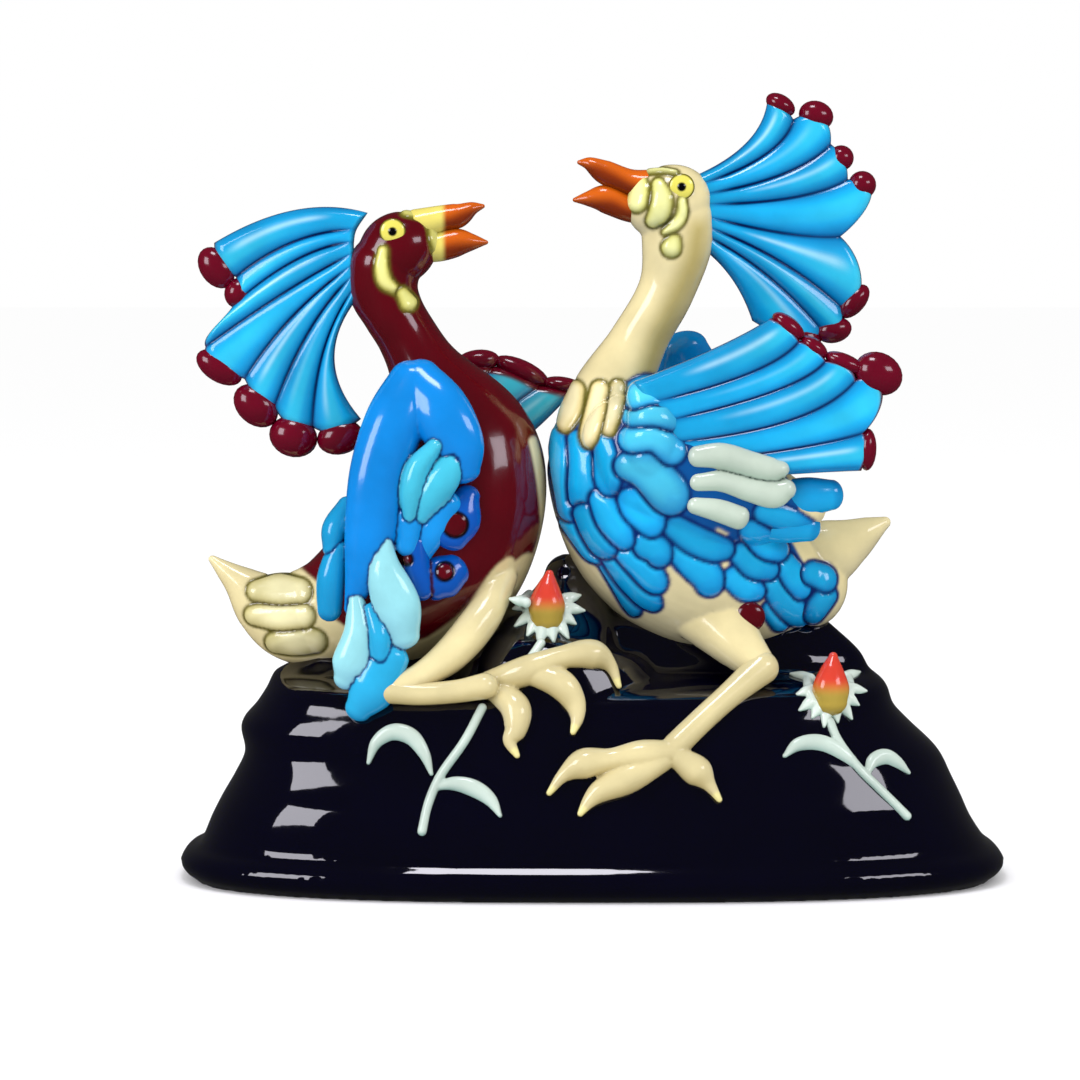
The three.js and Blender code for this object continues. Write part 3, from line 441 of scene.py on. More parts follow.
def finished(piece, slot, *nodes, material=brightGlaze):
    piece.data.materials.clear()
    piece.data.materials.append(material)
    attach(piece, "root")
    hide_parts(*nodes)
    print("finished", piece.name, len(piece.data.polygons))
    return piece

def mirroredY(stations):
    return [(s[0], -s[1], *s[2:]) for s in stations]

# Base: a rolled rim, a steep skirt and a stepped rock, hollow from below.
# Rows: height (rock: share from foot to perch), insets left, right, front and back.

base = {
    "halfLength": 152, "halfDepth": 64, "foot": 13.5, "corner": 0.72,
    "swell": 1.6, "swellHeights": (15, 19), "restsBelow": 0.8,
    "rim": [(0, 7, 7, 6, 6), (2.7, 2.2, 2.2, 1.6, 1.6), (7, 0, 0, 0, 0), (11, 3, 3, 2, 2),
        (13.5, 7.5, 6.5, 4.5, 4.5)],
    "rock": [(0.14, 11.5, 12.5, 5.5, 5.5), (0.26, 15.5, 16, 6.5, 7), (0.38, 20, 19.8, 10, 10),
        (0.52, 24, 24.5, 13, 12.5), (0.67, 22.5, 34.5, 15.5, 14), (0.78, 28, 41, 18, 16.5),
        (0.89, 32.5, 43.5, 22, 20.5), (0.945, 34, 47, 33, 31), (0.985, 37, 50, 45, 43),
        (1.09, 52, 54, 49, 47), (1.26, 86, 66, 54, 53)],
    "hollow": [(59.7, 43, 54, 32.5, 31), (44, 33, 51.5, 26, 24.5), (26, 30.5, 33.5, 20.5, 20.5),
        (12, 26, 27, 17, 17.5), (0, 19, 19, 18, 18)],
    "boulder": [(-14, -4, -14, 48, 42), (-14, -4, 2, 38, 37), (-13, -3, 10, 28, 29),
        (-10, -2, 20, 18, 20), (-9, 0, 32, 9, 10)],
    "grain": 1.38,
}

def makeBase():
    foot, top = base["foot"], perch - base["foot"]
    rock = [(foot + share * top, *insets) for share, *insets in base["rock"]]
    outer = np.array([*base["rim"], *rock], float)
    inner = np.array(base["hollow"], float)
    rows = np.vstack([splineAt(inner, np.linspace(0, 1, 40)), splineAt(outer, np.linspace(0, 1, 130))])
    last = len(rows) + 1
    body = sphereAt("rock", 200, last)
    unit = pointsOf(body) * mm
    ring = np.rint(np.arccos(np.clip(-unit[:, 2], -1, 1)) / math.pi * last).astype(int)
    angle = np.arctan2(unit[:, 1], unit[:, 0])
    z, left, right, front, back = rows[np.clip(ring - 1, 0, last - 2)].T
    west, east = left - base["halfLength"], base["halfLength"] - right
    c, s = np.cos(angle), np.sin(angle)
    rough = np.clip((z - foot) / top * 2, 0, 1)
    rise, fall = base["swellHeights"]
    wave = base["swell"] * rough * np.sin(5 * angle + z / rise) * np.cos(2 * angle - z / fall)
    deep = base["halfDepth"] - np.where(s < 0, front, back) + wave
    x = (east + west) / 2 + (east - west) / 2 * np.sign(c) * np.abs(c) ** base["corner"]
    y = deep * np.sign(s) * np.abs(s) ** base["corner"]
    pole = (ring == 0) | (ring == last)
    x, y = np.where(pole, 0, x), np.where(pole, 0, y)
    z = np.where(ring == 0, inner[0, 0] + 2, np.where(ring == last, z + 4, z))
    movePoints(body, np.column_stack([x, y, z]))
    boulder = limb("boulder", base["boulder"], 48, 60)
    stone = fused("rockBase", [outward(body), boulder], base["grain"])
    skin = Skin(stone, navy)
    skin.points[skin.points[:, 2] < base["restsBelow"], 2] = 0
    skin.fire(groove=0.5, ridge=0)
    return finished(stone, "navy_glaze", "base", material=darkGlaze)

def treeOf(thing):
    return BVHTree.FromPolygons(
        pointsOf(thing).tolist(), [tuple(p.vertices) for p in thing.data.polygons])

# Depth of a skin at x, z, on the front or the back; a ray comes from outside the whole object
def skinAt(tree, x, z, side, outside=300, missed=30):
    hit = tree.ray_cast(Vector((x, side * outside, z + perch)), Vector((0, -side, 0)))[0]
    return hit.y if hit else side * missed

print("base")
stoneTree = treeOf(makeBase())

# Right bird: body, head, tail, thighs and wing pad are one skin

rightBird = {
    "body": [
        (80, 0, 29, 16, 14), (62, -1, 33, 28, 25), (43, -2, 41, 36, 31), (23, -2, 56, 36, 32),
        (8, -2, 78, 26, 25), (7, -2, 98, 16, 16), (16, -2, 118, 10.8, 10.5), (26.8, -3, 138, 10.4, 9.6),
        (30.5, -4, 154, 12.8, 10.3), (30.5, -4, 165, 13.2, 10.3)],
    "head": (27.5, -4, 169.8, 13.5, 1.17, 0.35, 0.87),
    "tail": [
        (76, 0, 37, 11, 9), (88, 0, 42, 12, 9), (96, 0, 46, 8.5, 7), (102, 0, 49.5, 5.5, 5),
        (107.5, 0, 52.5, 2.4, 2.4)],
    "pads": [
        [(8, -20, 88, 14, 10), (22, -24, 78, 23, 13), (44, -26, 66, 22, 12), (64, -26, 62, 14, 9),
         (78, -26, 60, 7, 6)],
        [(17, -27, 101, 5, 8), (20.5, -29, 93, 9, 9.5), (21, -30, 84, 11, 9.5), (22, -28, 73, 10, 9)]],
    "thigh": [(42, -18, 22, 14, 9), (53, -26, 10, 9.4, 8), (60, -31, 3, 6.4, 6)],
    "grain": 0.735, "tailMesh": (32, 48), "glaze": cream, "poolAndShade": (0.25, 0.3, 0.5),
}
# Strokes on the right bird, later ones over earlier ones
rightScales = [
    [(4.6, 40.4, 2.1), (9.8, 32.6, 2.6), (13.7, 25.4, 2.5), (14.9, 22, 1.3)],
    [(-8.9, 53.9, 2.4), (-5.1, 49.3, 2.6), (-1.1, 44.1, 2.5), (1, 42.1, 1.5)],
    [(6.4, 42.4, 2.6), (12.2, 35, 3.3), (18.8, 28.4, 3.5), (21.6, 25.4, 2.1)],
    [(64.4, 22.6, 2.2), (68.3, 17.3, 2.4)],
    [(64.8, 32.1, 2.8), (69, 26, 3.6), (73.8, 20.6, 3.5), (76, 17.9, 2.2)],
    [(85.3, 26.4, 2.9), (82.5, 22.9, 3.2), (80.9, 19.6, 2.5)],
    [(69.9, 39.4, 2.9), (73.2, 34.3, 3.6), (75.7, 29.6, 2.6)],
    [(80.1, 35.2, 3.1), (84.1, 33.5, 3.5), (85.2, 32.1, 2.8)],
    [(51, 34.8, 3.4), (55.3, 31.4, 3.8), (58.5, 29.9, 2.4)],
    [(31.6, 44.8, 3.6), (35.7, 40.2, 4), (40.6, 36.3, 4.5), (41.7, 33.5, 3.9)],
    [(53.8, 43.6, 3.3), (58, 39.7, 3.7), (63, 37.8, 2.8)],
    [(11, 44.5, 2.6), (16.2, 40.3, 3.7), (21.4, 34.8, 3.7), (22.9, 32.6, 2.2)],
    [(19.2, 47.1, 3.7), (22.7, 45.6, 3.8), (23.5, 43.6, 3.2)],
    [(29.8, 53.5, 3.2), (35.7, 49.6, 4), (42.6, 46.6, 3.9), (46.4, 45.9, 2.9)],
    [(56.4, 52.4, 2.9), (62.3, 47.1, 4), (66.9, 44.5, 2.9)],
    [(61.1, 59.1, 2.5), (69.2, 56.4, 3.4), (76.4, 53.4, 2.2)],
    [(-13.4, 84.4, 2.1), (-11.5, 74.5, 3.2), (-9.4, 64.2, 3.5), (-8.9, 58.5, 2.9)],
    [(-6.1, 84.4, 2.1), (-4.4, 75.7, 3.3), (-4.4, 68.1, 3.6), (-4.8, 63.7, 2.9)],
    [(-3.5, 57.6, 2.6), (-0.8, 52.5, 3.2), (3, 47.1, 3.6), (4.6, 45.4, 2.6)],
    [(2.9, 62.9, 3.2), (5.7, 56.8, 3.9), (9.1, 52, 3.6), (10.9, 49, 2.5)],
    [(3.4, 84.4, 2.1), (4.4, 77.5, 3.2), (5, 71.2, 3.5), (5.4, 68.5, 2.6)],
    [(13.1, 63.5, 3.2), (16, 60.8, 4.9), (19.8, 56.8, 4.5), (20.8, 54.4, 3)],
]
rightCoverts = [
    [(12.3, 75.8, 4.1), (19, 74, 5.8), (25.8, 67.3, 6.6), (27.5, 64.6, 5.5)],
    [(13.4, 85.5, 3.8), (21.7, 86.3, 4), (27.8, 81.6, 4.2)],
    [(13.6, 94.3, 3.2), (21.7, 95.1, 3.7), (27.8, 92.4, 2.7)],
    [(13.7, 100.5, 3.3), (19, 102.7, 3.8), (24.4, 102, 3)],
]
rightDrips = [
    [(-14.5, 102, 1.4), (-15.5, 97.1, 1.7), (-17.4, 91.6, 1)],
    [(-6.4, 101.9, 2.9), (-8.2, 95.1, 3.5), (-10.4, 89.6, 2.5)],
    [(8.8, 103, 2.5), (6.9, 95.3, 2.8), (5.3, 88.7, 1.9)],
    [(2.3, 102.3, 2.9), (0.2, 93.4, 3.1), (-1.6, 86.7, 2.9), (-2, 83.8, 1.8)],
]
rightFace = [
    [(14.9, 180.2, 1.1), (19.6, 180.9, 1.1), (25.3, 181.3, 1.1), (29.8, 180.5, 1.1)],
    [(17.1, 179, 2.1), (16.6, 175.1, 3.4), (15.8, 170.5, 3.8), (15.7, 169.5, 3.5)],
    [(29.2, 156.1, 2.5), (28.2, 153.6, 3.8)],
    [(32.1, 170.6, 1.7), (32, 165.6, 2.2), (29.7, 161.9, 2.2), (25.6, 159.1, 1.1)],
    [(23.6, 176.3, 2.6), (24.8, 171.4, 3.8), (23.9, 166.4, 4), (21.6, 163.3, 2.8)],
]
rightNeckShade = [(38, 160, 3), (36, 148, 4), (30, 134, 4), (24, 121, 4), (20, 110, 3)]
rightBlueArea = [
    [(-12, 84, 6), (-9, 62, 6), (0, 48, 5), (10, 34, 4)],
    [(2, 84, 10), (4, 68, 10), (10, 50, 10), (20, 38, 6)],
    [(16, 96, 10), (22, 78, 14), (32, 60, 12), (34, 46, 9), (40, 38, 6)],
    [(44, 72, 16), (60, 60, 14), (58, 44, 10), (56, 34, 5)],
    [(66, 42, 8), (72, 30, 8), (72, 22, 7)],
    [(82, 32, 7), (84, 24, 4)],
]
# Washes: strokes, glaze, soft edge, strength. Feathers: strokes, glaze in the light, in the dark and
# of the line, then depth, growth, width of the line and how much darker the tip is.
rightWashes = [([rightNeckShade], shade(170, 152, 76), 4.5, 0.75), (rightBlueArea, deepBlue, 0.6)]
rightFeathers = [
    (rightScales, skyBlue, brightBlue, inkBlue, 1.2, 1.5, 1.1),
    (rightCoverts, shade(70, 190, 224), brightBlue, inkBlue, 1.5, 1.2, 1.1),
    (rightDrips, shade(232, 220, 170), shade(190, 165, 80), olive, 1.2, 0.6, 0.8, 0.2),
    (rightFace, shade(226, 226, 150), shade(190, 185, 80), olive, 1.2, 0, 0.8, 0),
]

def makeBody(name, look, washes, feathers, slot, *nodes):
    x, y, z, radius, stretch, turn, flat = look["head"]
    lumps = [
        limb("trunk", look["body"], 56, 110),
        pebble("skull", x, y, z, radius, stretch, turn, flat, around=48),
        limb("rump", look["tail"], *look["tailMesh"]),
        *[limb("pad", pad, 40, 60) for pad in look["pads"]],
        limb("nearThigh", look["thigh"]),
        limb("farThigh", mirroredY(look["thigh"])),
    ]
    skin = Skin(fused(name, lumps, look["grain"], 8), look["glaze"])
    for wash in washes:
        skin.wash(*wash)
    for row in feathers:
        skin.petals(*row)
    skin.fire(poolAndShade=look["poolAndShade"])
    return finished(skin.thing, slot, *nodes)

pale = {
    "strokes": [
        [(36.5, 62, 2.7), (44.3, 60.4, 3.7), (52.3, 57.4, 3.7)],
        [(37.1, 70.3, 2.9), (45.6, 70.5, 3.3), (55.9, 67.4, 3.7), (64.8, 65.9, 4.4), (69.1, 67.7, 3)],
        [(36.8, 79.4, 3.3), (45.6, 79.7, 4.1), (55.9, 76.8, 4), (64.2, 74.8, 3.6), (66.9, 74.9, 2.5)]],
    "glaze": shade(184, 198, 182), "line": shade(36, 58, 50), "poolAndShade": (0.35, 0.5, 0.45),
    "y": -36.4, "lean": 0.05, "leansFrom": 45, "wider": 0.7, "halfDepth": 3.4, "grain": 0.5,
}

def makeRightPale():
    lumps = []
    for stroke in pale["strokes"]:
        stations = [(x, pale["y"] + pale["lean"] * max(0, x - pale["leansFrom"]), z,
                     half + pale["wider"], pale["halfDepth"]) for x, z, half in stroke]
        lumps.append(([limb("pale", stations)], pale["glaze"]))
    skin = fusedGlazes("rightPaleFeathers", lumps, pale["grain"], line=pale["line"], lineWidth=0.6)
    skin.fire(poolAndShade=pale["poolAndShade"])
    finished(skin.thing, "pale_green_glaze", "right_pale_feathers")

# What all fans share. Highlight streaks are a painted highlight: the strengths of a pale streak on one
# plume after another;
# y and thickness are given at the root and at the tip.
blueFan = {
    "dark": brightBlue * 0.8, "light": skyBlue, "thin": shade(58, 200, 222), "rim": maroon,
    "line": inkBlue, "lineWidth": 0.8,
    "highlightStreak": 0.36, "highlightStreakWidth": 0.07, "highlightStreakColour": shade(206, 240, 248),
    "highlightStreaks": (0.45, 0.1, 0.3, 0),
    "beadSize": 1.14, "beadSink": 0.8, "beadDepth": 4.6, "edge": 3, "rimWidth": 0,
    "groove": 0.6, "ridge": 0.35, "perPlume": 26, "rows": 90,
}
rightWing = {
    **blueFan,
    "ribs": [
        [[14, 106], [44, 118.5], [63.4, 129]], [[17, 98], [55, 109], [73.5, 121]],
        [[20, 91], [63.5, 102.5], [83, 114]], [[22, 84], [69, 92], [94, 107.3]],
        [[24, 76], [70, 82], [97, 88]], [[26, 69], [68, 72.5], [96, 74]]],
    "y": (-32, -32), "thickness": (9, 8), "scallops": (0.1, 0.1, 0.1, 0.47, 0.1),
    "relief": 0.3, "roll": 0.3, "rimWidth": 1.5,
    "beads": [(0, 0.5, 2.9, 2.1, 1), (1, 0.5, 2.6, 1.9, 0.8), (2, 0.5, 2.8, 2.4, 1.2),
        (3, 0.3, 6.6, 1.2, 2.5), (4, 0.44, 2.9, 2.3, 0.7)],
    "plumes": [
        [(66, -28, 64, 6, 4.6), (77, -29, 64.5, 7, 4.6), (86, -28, 65, 5.5, 4)],
        [(58, -27, 55, 6, 4.6), (68, -28, 54, 6.4, 4.6), (78, -27, 53, 5, 4)]],
}

# Fan, shorter plumes beside it and beads on its rim in one piece
def makeFan(name, look, slot, node):
    plumes = [fan(name, look)]
    plumes += [painted(limb("plume", part), look["light"]) for part in look["plumes"]]
    thing = joinedAs(name, plumes + rimBeads(name + "Bead", look))
    Skin(thing).fire(look["groove"], look["ridge"])
    finished(thing, slot, node)

crestFan = {**blueFan, "thickness": (9, 7.5), "relief": 0.5, "plumes": [], "groove": 0.7, "ridge": 0.3}
rightCrest = {
    **crestFan,
    "ribs": [
        [[36, 179], [55.4, 191], [63.5, 206]], [[38, 176], [62.6, 187], [73.2, 200]],
        [[39, 172.5], [69, 180], [86.9, 191]], [[40, 169], [73, 171.5], [93.2, 178.2]],
        [[40, 165], [70, 158.5], [90.7, 157.3]], [[40, 161.5], [68, 148.5], [91.7, 131]],
        [[39, 158.5], [62, 144.5], [84.5, 122.5]], [[37, 155], [50, 143], [58.5, 126.5]]],
    "y": (-3, 3), "roll": 0.6, "scallops": (0.2, 0.35, 0.05, 0.5, 0.3, 0.15, 0.2),
    "beads": [(0, 0.5, 3.2, 1.6, 0.6), (1, 0.42, 4.7, 1.2, 0.5), (2, 0.45, 4.1, 1, 0),
        (3, 0.27, 4.5, 1, -1), (4, 0.75, 3.7, 1.75, 0), (5, 0.72, 4.2, 1.4, 0),
        (6, 0.45, 5, 1.3, 0)],
}
leftCrest = {
    **crestFan,
    "ribs": [
        [[-82, 166], [-109, 167], [-138.5, 155]], [[-86, 160], [-109, 155.5], [-130.6, 142.5]],
        [[-87, 155.5], [-108, 149], [-131.5, 132.5]], [[-87, 151.5], [-111, 138], [-142, 117]],
        [[-87, 147.5], [-109, 129], [-127.8, 105.2]], [[-87, 143.5], [-103, 124], [-117, 94.6]],
        [[-86, 140], [-98, 117], [-102.8, 87.4]], [[-85, 136], [-94.5, 113], [-85, 90.5]]],
    "y": (-4, 2), "roll": 0.45, "scallops": (0.2, 0.05, 0.08, 0.13, 0.15, 0.15, 0.15),
    "beads": [(0, 0.5, 5.2, 1.4, 2.5), (1, 0.6, 4.2, 1.15, 0.5), (3, 0.52, 4.7, 1.75, 0),
        (4, 0.55, 6, 1.35, 2.7), (5, 0.6, 6.6, 1.2, 4), (6, 0.5, 5.6, 1.35, 2.8)],
}

thighBead = {"place": (56.6, 20.6), "radius": 5.6, "flat": 0.45}

def makeThighBead(tree):
    x, z = thighBead["place"]
    y = skinAt(tree, x, z, -1)
    dot = pebble("thighDot", x, y, z, thighBead["radius"], flat=thighBead["flat"], around=48)
    dot = joinedAs("rightThighBead", [dot])
    Skin(dot, maroon).fire(groove=0, ridge=0)
    finished(dot, "maroon_glaze", "right_thigh_bead")

rightFar = {
    "wing": [(34, 22, 116, 9, 6), (38, 26, 100, 15, 7.5), (48, 29, 80, 19, 8), (62, 27, 60, 15, 7),
        (77, 22, 45, 8, 5), (87, 18, 36, 3.5, 3.5)],
    "feathers": [
        [(56, 84, 5), (65, 68, 6.4), (75, 51, 4)], [(48, 86, 5), (56, 68, 6.4), (66, 52, 4)],
        [(39, 86, 5), (46, 68, 6.4), (56, 54, 4)], [(41, 108, 5), (44, 96, 6.4), (46, 82, 5)],
        [(34, 112, 5), (34, 100, 6.4), (36, 86, 5)]],
    "behind": 22, "grain": 0.9,
}

def makeRightFarWing():
    wing = fused("rightFarWing", [limb("farWing", rightFar["wing"], 48, 80)], rightFar["grain"], 3)
    skin = Skin(wing, brightBlue)
    skin.where = skin.y > rightFar["behind"]
    skin.petals(rightFar["feathers"], skyBlue, teal, inkBlue, depth=1.8)
    skin.fire()
    finished(wing, "blue_glaze", "right_far_wing", "right_far_feathers")

# Beaks: orange above, brown below; the left bird's have a yellow cere at the root.
# Rows: x, z, half width and half depth.

beakLook = {"top": shade(200, 92, 20), "under": shade(120, 44, 10), "cere": shade(216, 202, 100),
            "y": -4}
beaks = {
    "right_upper_beak": [
        (21, 175.3, 6.5, 6.5), (13, 177.2, 4.8, 5.2), (4, 180.8, 4.4, 4.2), (-1.6, 183.8, 2.5, 2.8),
        (-5, 184.3, 0.9, 1)],
    "right_lower_beak": [
        (21, 166.3, 5, 5.5), (13, 167.6, 4.9, 5), (4, 171.1, 5.1, 4.2), (-2, 171.1, 2.8, 2.8),
        (-6.6, 170.7, 0.9, 1)],
    "left_upper_beak": [
        (-64, 161.5, 6, 6), (-55, 164, 4.8, 5), (-49, 165, 4.5, 4.2), (-43.8, 167.6, 2.5, 2.8),
        (-40.2, 168.4, 0.9, 1)],
    "left_lower_beak": [
        (-64, 153.5, 5.5, 6), (-56, 153.8, 5.5, 5), (-49, 155.3, 5.1, 4.2), (-43.8, 155.4, 3.1, 2.8),
        (-39, 155.3, 0.9, 1)],
}

def makeBeak(node, stations):
    side, half, _ = node.split("_")
    name = side + half.capitalize() + "Beak"
    lump = limb(name, [(x, beakLook["y"], *rest) for x, *rest in stations], 40, 70, dome=5)
    skin = Skin(fused(name, [lump], 0.35, 3), beakLook["under"])
    share = np.clip((skin.x - stations[0][0]) / (stations[-1][0] - stations[0][0]), 0, 1)
    middle = splineAt([(s[1],) for s in stations], share)[:, 0]
    skin.colour = mixed(skin.colour, beakLook["top"], ramp(-3, 2.5, skin.z - middle))
    if side == "left":
        skin.colour = mixed(skin.colour, beakLook["cere"], ramp(-53, -55.5, skin.x))
    skin.fire(groove=0.6, ridge=0.2)
    finished(skin.thing, "orange_glaze", node)

# Eyes: a flat dome with a raised pupil

eye = {
    "right": (31.8, 175.5), "left": (-72.6, 159.4), "radius": 4.8, "bulge": 1.6, "sunk": 0.2,
    "pupil": 1.6, "pupilRise": 1.1, "pupilFlat": 0.45, "grain": 0.25,
}

def makeEyes(bird, tree):
    x, z = eye[bird]
    radius = eye["radius"]
    for place, side in sides:
        name = f"{bird}{place}Eye"
        y = skinAt(tree, x, z, side)
        dome = pebble(name, x, y - side * eye["sunk"], z, radius, flat=eye["bulge"] / radius, around=64)
        dot = pebble(name + "Pupil", x, y + side * eye["pupilRise"], z, eye["pupil"],
                     flat=eye["pupilFlat"], around=32)
        skin = Skin(fused(name, [dome, dot], eye["grain"], 2), yellow)
        skin.wash([[(x, z, eye["pupil"])]], black, edge=0.3)
        away = np.hypot(skin.x - x, skin.z - z)
        skin.colour = mixed(skin.colour, olive, ramp(radius - 0.9, radius - 0.3, away))
        skin.fire(groove=0.4, ridge=0)
        finished(skin.thing, "yellow_glaze", f"{bird}_{place.lower()}_eye")

# Legs and feet

legs = {
    "rightShank": [(61, -32, 3, 6.2, 5.8), (49, -39, -6, 4.8, 4.8), (38, -45, -15, 4.6, 4.6),
        (29, -50, -23, 4.8, 4.6)],
    "leftShank": [(-75, -42, -4, 4.8, 4.8), (-62, -44, -5, 4.2, 4.2), (-49, -45, -4, 4.2, 4.2),
        (-39, -46, -2, 4.8, 4.8)],
    "rightToes": [
        [(28, -25), (17, -26), (6, -27.5), (-4, -29), (-11, -33), (-16, -39)],
        [(24, -28), (12, -34), (2, -38.5), (-2, -42), (-5, -46)],
        [(30, -27), (37, -32), (41, -36.5), (44.5, -41.5)]],
    "leftToes": [
        [(-38, -2), (-24, 3), (-12, 7.5), (0, 8), (6, 4), (9, -3)],
        [(-22, 2), (-12, -1.5), (-7, -8), (-6, -13), (-7.5, -18)],
        [(-36, -4), (-28, -10), (-28, -17), (-30, -21), (-27.5, -26)]],
    "toe": 4.2, "knuckle": 1.3, "grain": 0.5, "skin": cream * 0.88, "claw": shade(232, 222, 150),
}

def toe(name, places, side):
    last = len(places) - 1
    stations = []
    for i, (x, z) in enumerate(places):
        radius = legs["toe"] * (0.28 if i == last else 0.62 if i == last - 1 else 1)
        radius += legs["knuckle"] * (i % 2) * (i < last - 1)
        y = skinAt(stoneTree, x, z, side) + side * 0.35 * legs["toe"]
        stations.append((x, y, z, radius, radius))
    return limb(name, stations, 24, 60, dome=4)

def makeLegs(bird):
    bone, toes = legs[bird + "Shank"], legs[bird + "Toes"]
    for place, side in sides:
        name, node = f"{bird}{place}Leg", f"{bird}_{place.lower()}"
        lumps = [limb(name + "Bone", bone if side < 0 else mirroredY(bone))]
        lumps += [toe(name + "Toe", places, side) for places in toes]
        skin = Skin(fused(name, lumps, legs["grain"], 4), legs["skin"])
        skin.wash([[(*places[-1], 3)] for places in toes], legs["claw"])
        skin.fire(groove=1.1, ridge=0.3, poolAndShade=(0.5, 0.42, 0.2))
        finished(skin.thing, "cream_glaze", node + "_leg", node + "_foot")

# Left bird: maroon head, neck and back, cream belly and tail

leftBird = {
    "body": [
        (-97, 0, 19, 20, 17), (-78, -2, 27, 30, 26), (-58, -2, 42, 34, 31), (-47, -2, 61, 30, 29),
        (-47.5, -2, 80, 27.5, 25), (-57, -2, 100, 19, 18.5), (-62.5, -2, 111, 13, 15),
        (-67.8, -2, 121, 11.2, 13), (-73, -3, 130, 11.4, 12), (-76.3, -3, 138, 12.8, 11.5),
        (-76.3, -4, 147, 12.8, 11.5)],
    "head": (-71, -4, 153, 13.2, 1.12, 0.5, 0.9),
    "thigh": [(-33, -18, 34, 5.5, 6), (-40.5, -29, 20.5, 7, 7.5), (-51.5, -36.5, 8, 6.5, 7),
        (-63, -41, 0.5, 4.8, 5.5), (-73, -41.5, -4, 4.8, 5)],
    "tail": [
        (-97, 0, 18, 18, 14), (-106, 0, 18, 18.5, 14), (-114, 0, 19.5, 16.5, 12), (-122, 0, 23.5, 12, 9),
        (-130, 0, 30.5, 6.5, 6), (-136, 0, 35.5, 3.4, 3.4), (-140, 0, 39, 1.6, 1.6)],
    "pads": [], "grain": 0.725, "tailMesh": (40, 60), "glaze": maroon, "poolAndShade": (0.4, 0.35, 0.3),
}
leftCream = [
    [(-21.9, 83.4, 1.5), (-20.4, 77.3, 1.6), (-18.4, 66.3, 1.8), (-17.2, 51.7, 2.2), (-20.4, 38.8, 2.7),
     (-27.8, 27.7, 3.7), (-34.2, 20.4, 4.6)],
    [(-30.5, 40, 2), (-33, 34, 5), (-40.5, 20.5, 6.8), (-51.5, 8, 6.5), (-62, 1, 5.4)],
    [(-24, 39, 3.5), (-29, 31, 7), (-36, 19, 10), (-48, 9, 10), (-62, 2, 8)],
    [(-120, 14, 14), (-104, 6, 16), (-84, -2, 14), (-60, -2, 14), (-40, 6, 10)],
    [(-140, 40, 8), (-126, 28, 16), (-112, 18, 18)],
]
leftTailFeathers = [
    [(-102, 10, 5), (-109, 10, 6), (-116, 9, 4.4)],
    [(-106, 19.5, 4.8), (-115, 19.5, 5.8), (-124, 19, 4)],
    [(-107, 28.5, 4.6), (-115, 28.5, 5.4), (-123, 28, 4)],
]
leftFace = [
    [(-68, 166.8, 2), (-61, 166, 3), (-57.7, 162.5, 3), (-57, 157, 2.6), (-57, 152.5, 1.6)],
    [(-76.2, 152.5, 2), (-76.6, 146.4, 2.6), (-75.4, 141.4, 2.8), (-71.5, 138.2, 1.8)],
    [(-69, 137, 2.4), (-66.9, 133.6, 3.2)],
]
leftWashes = [(leftCream, cream, 0.7)]
leftFeathers = [
    (leftTailFeathers, shade(232, 224, 172), shade(180, 168, 100), olive, 1.8),
    (leftFace, shade(222, 220, 130), shade(180, 170, 60), olive, 1.3, 0, 0.8, 0),
]
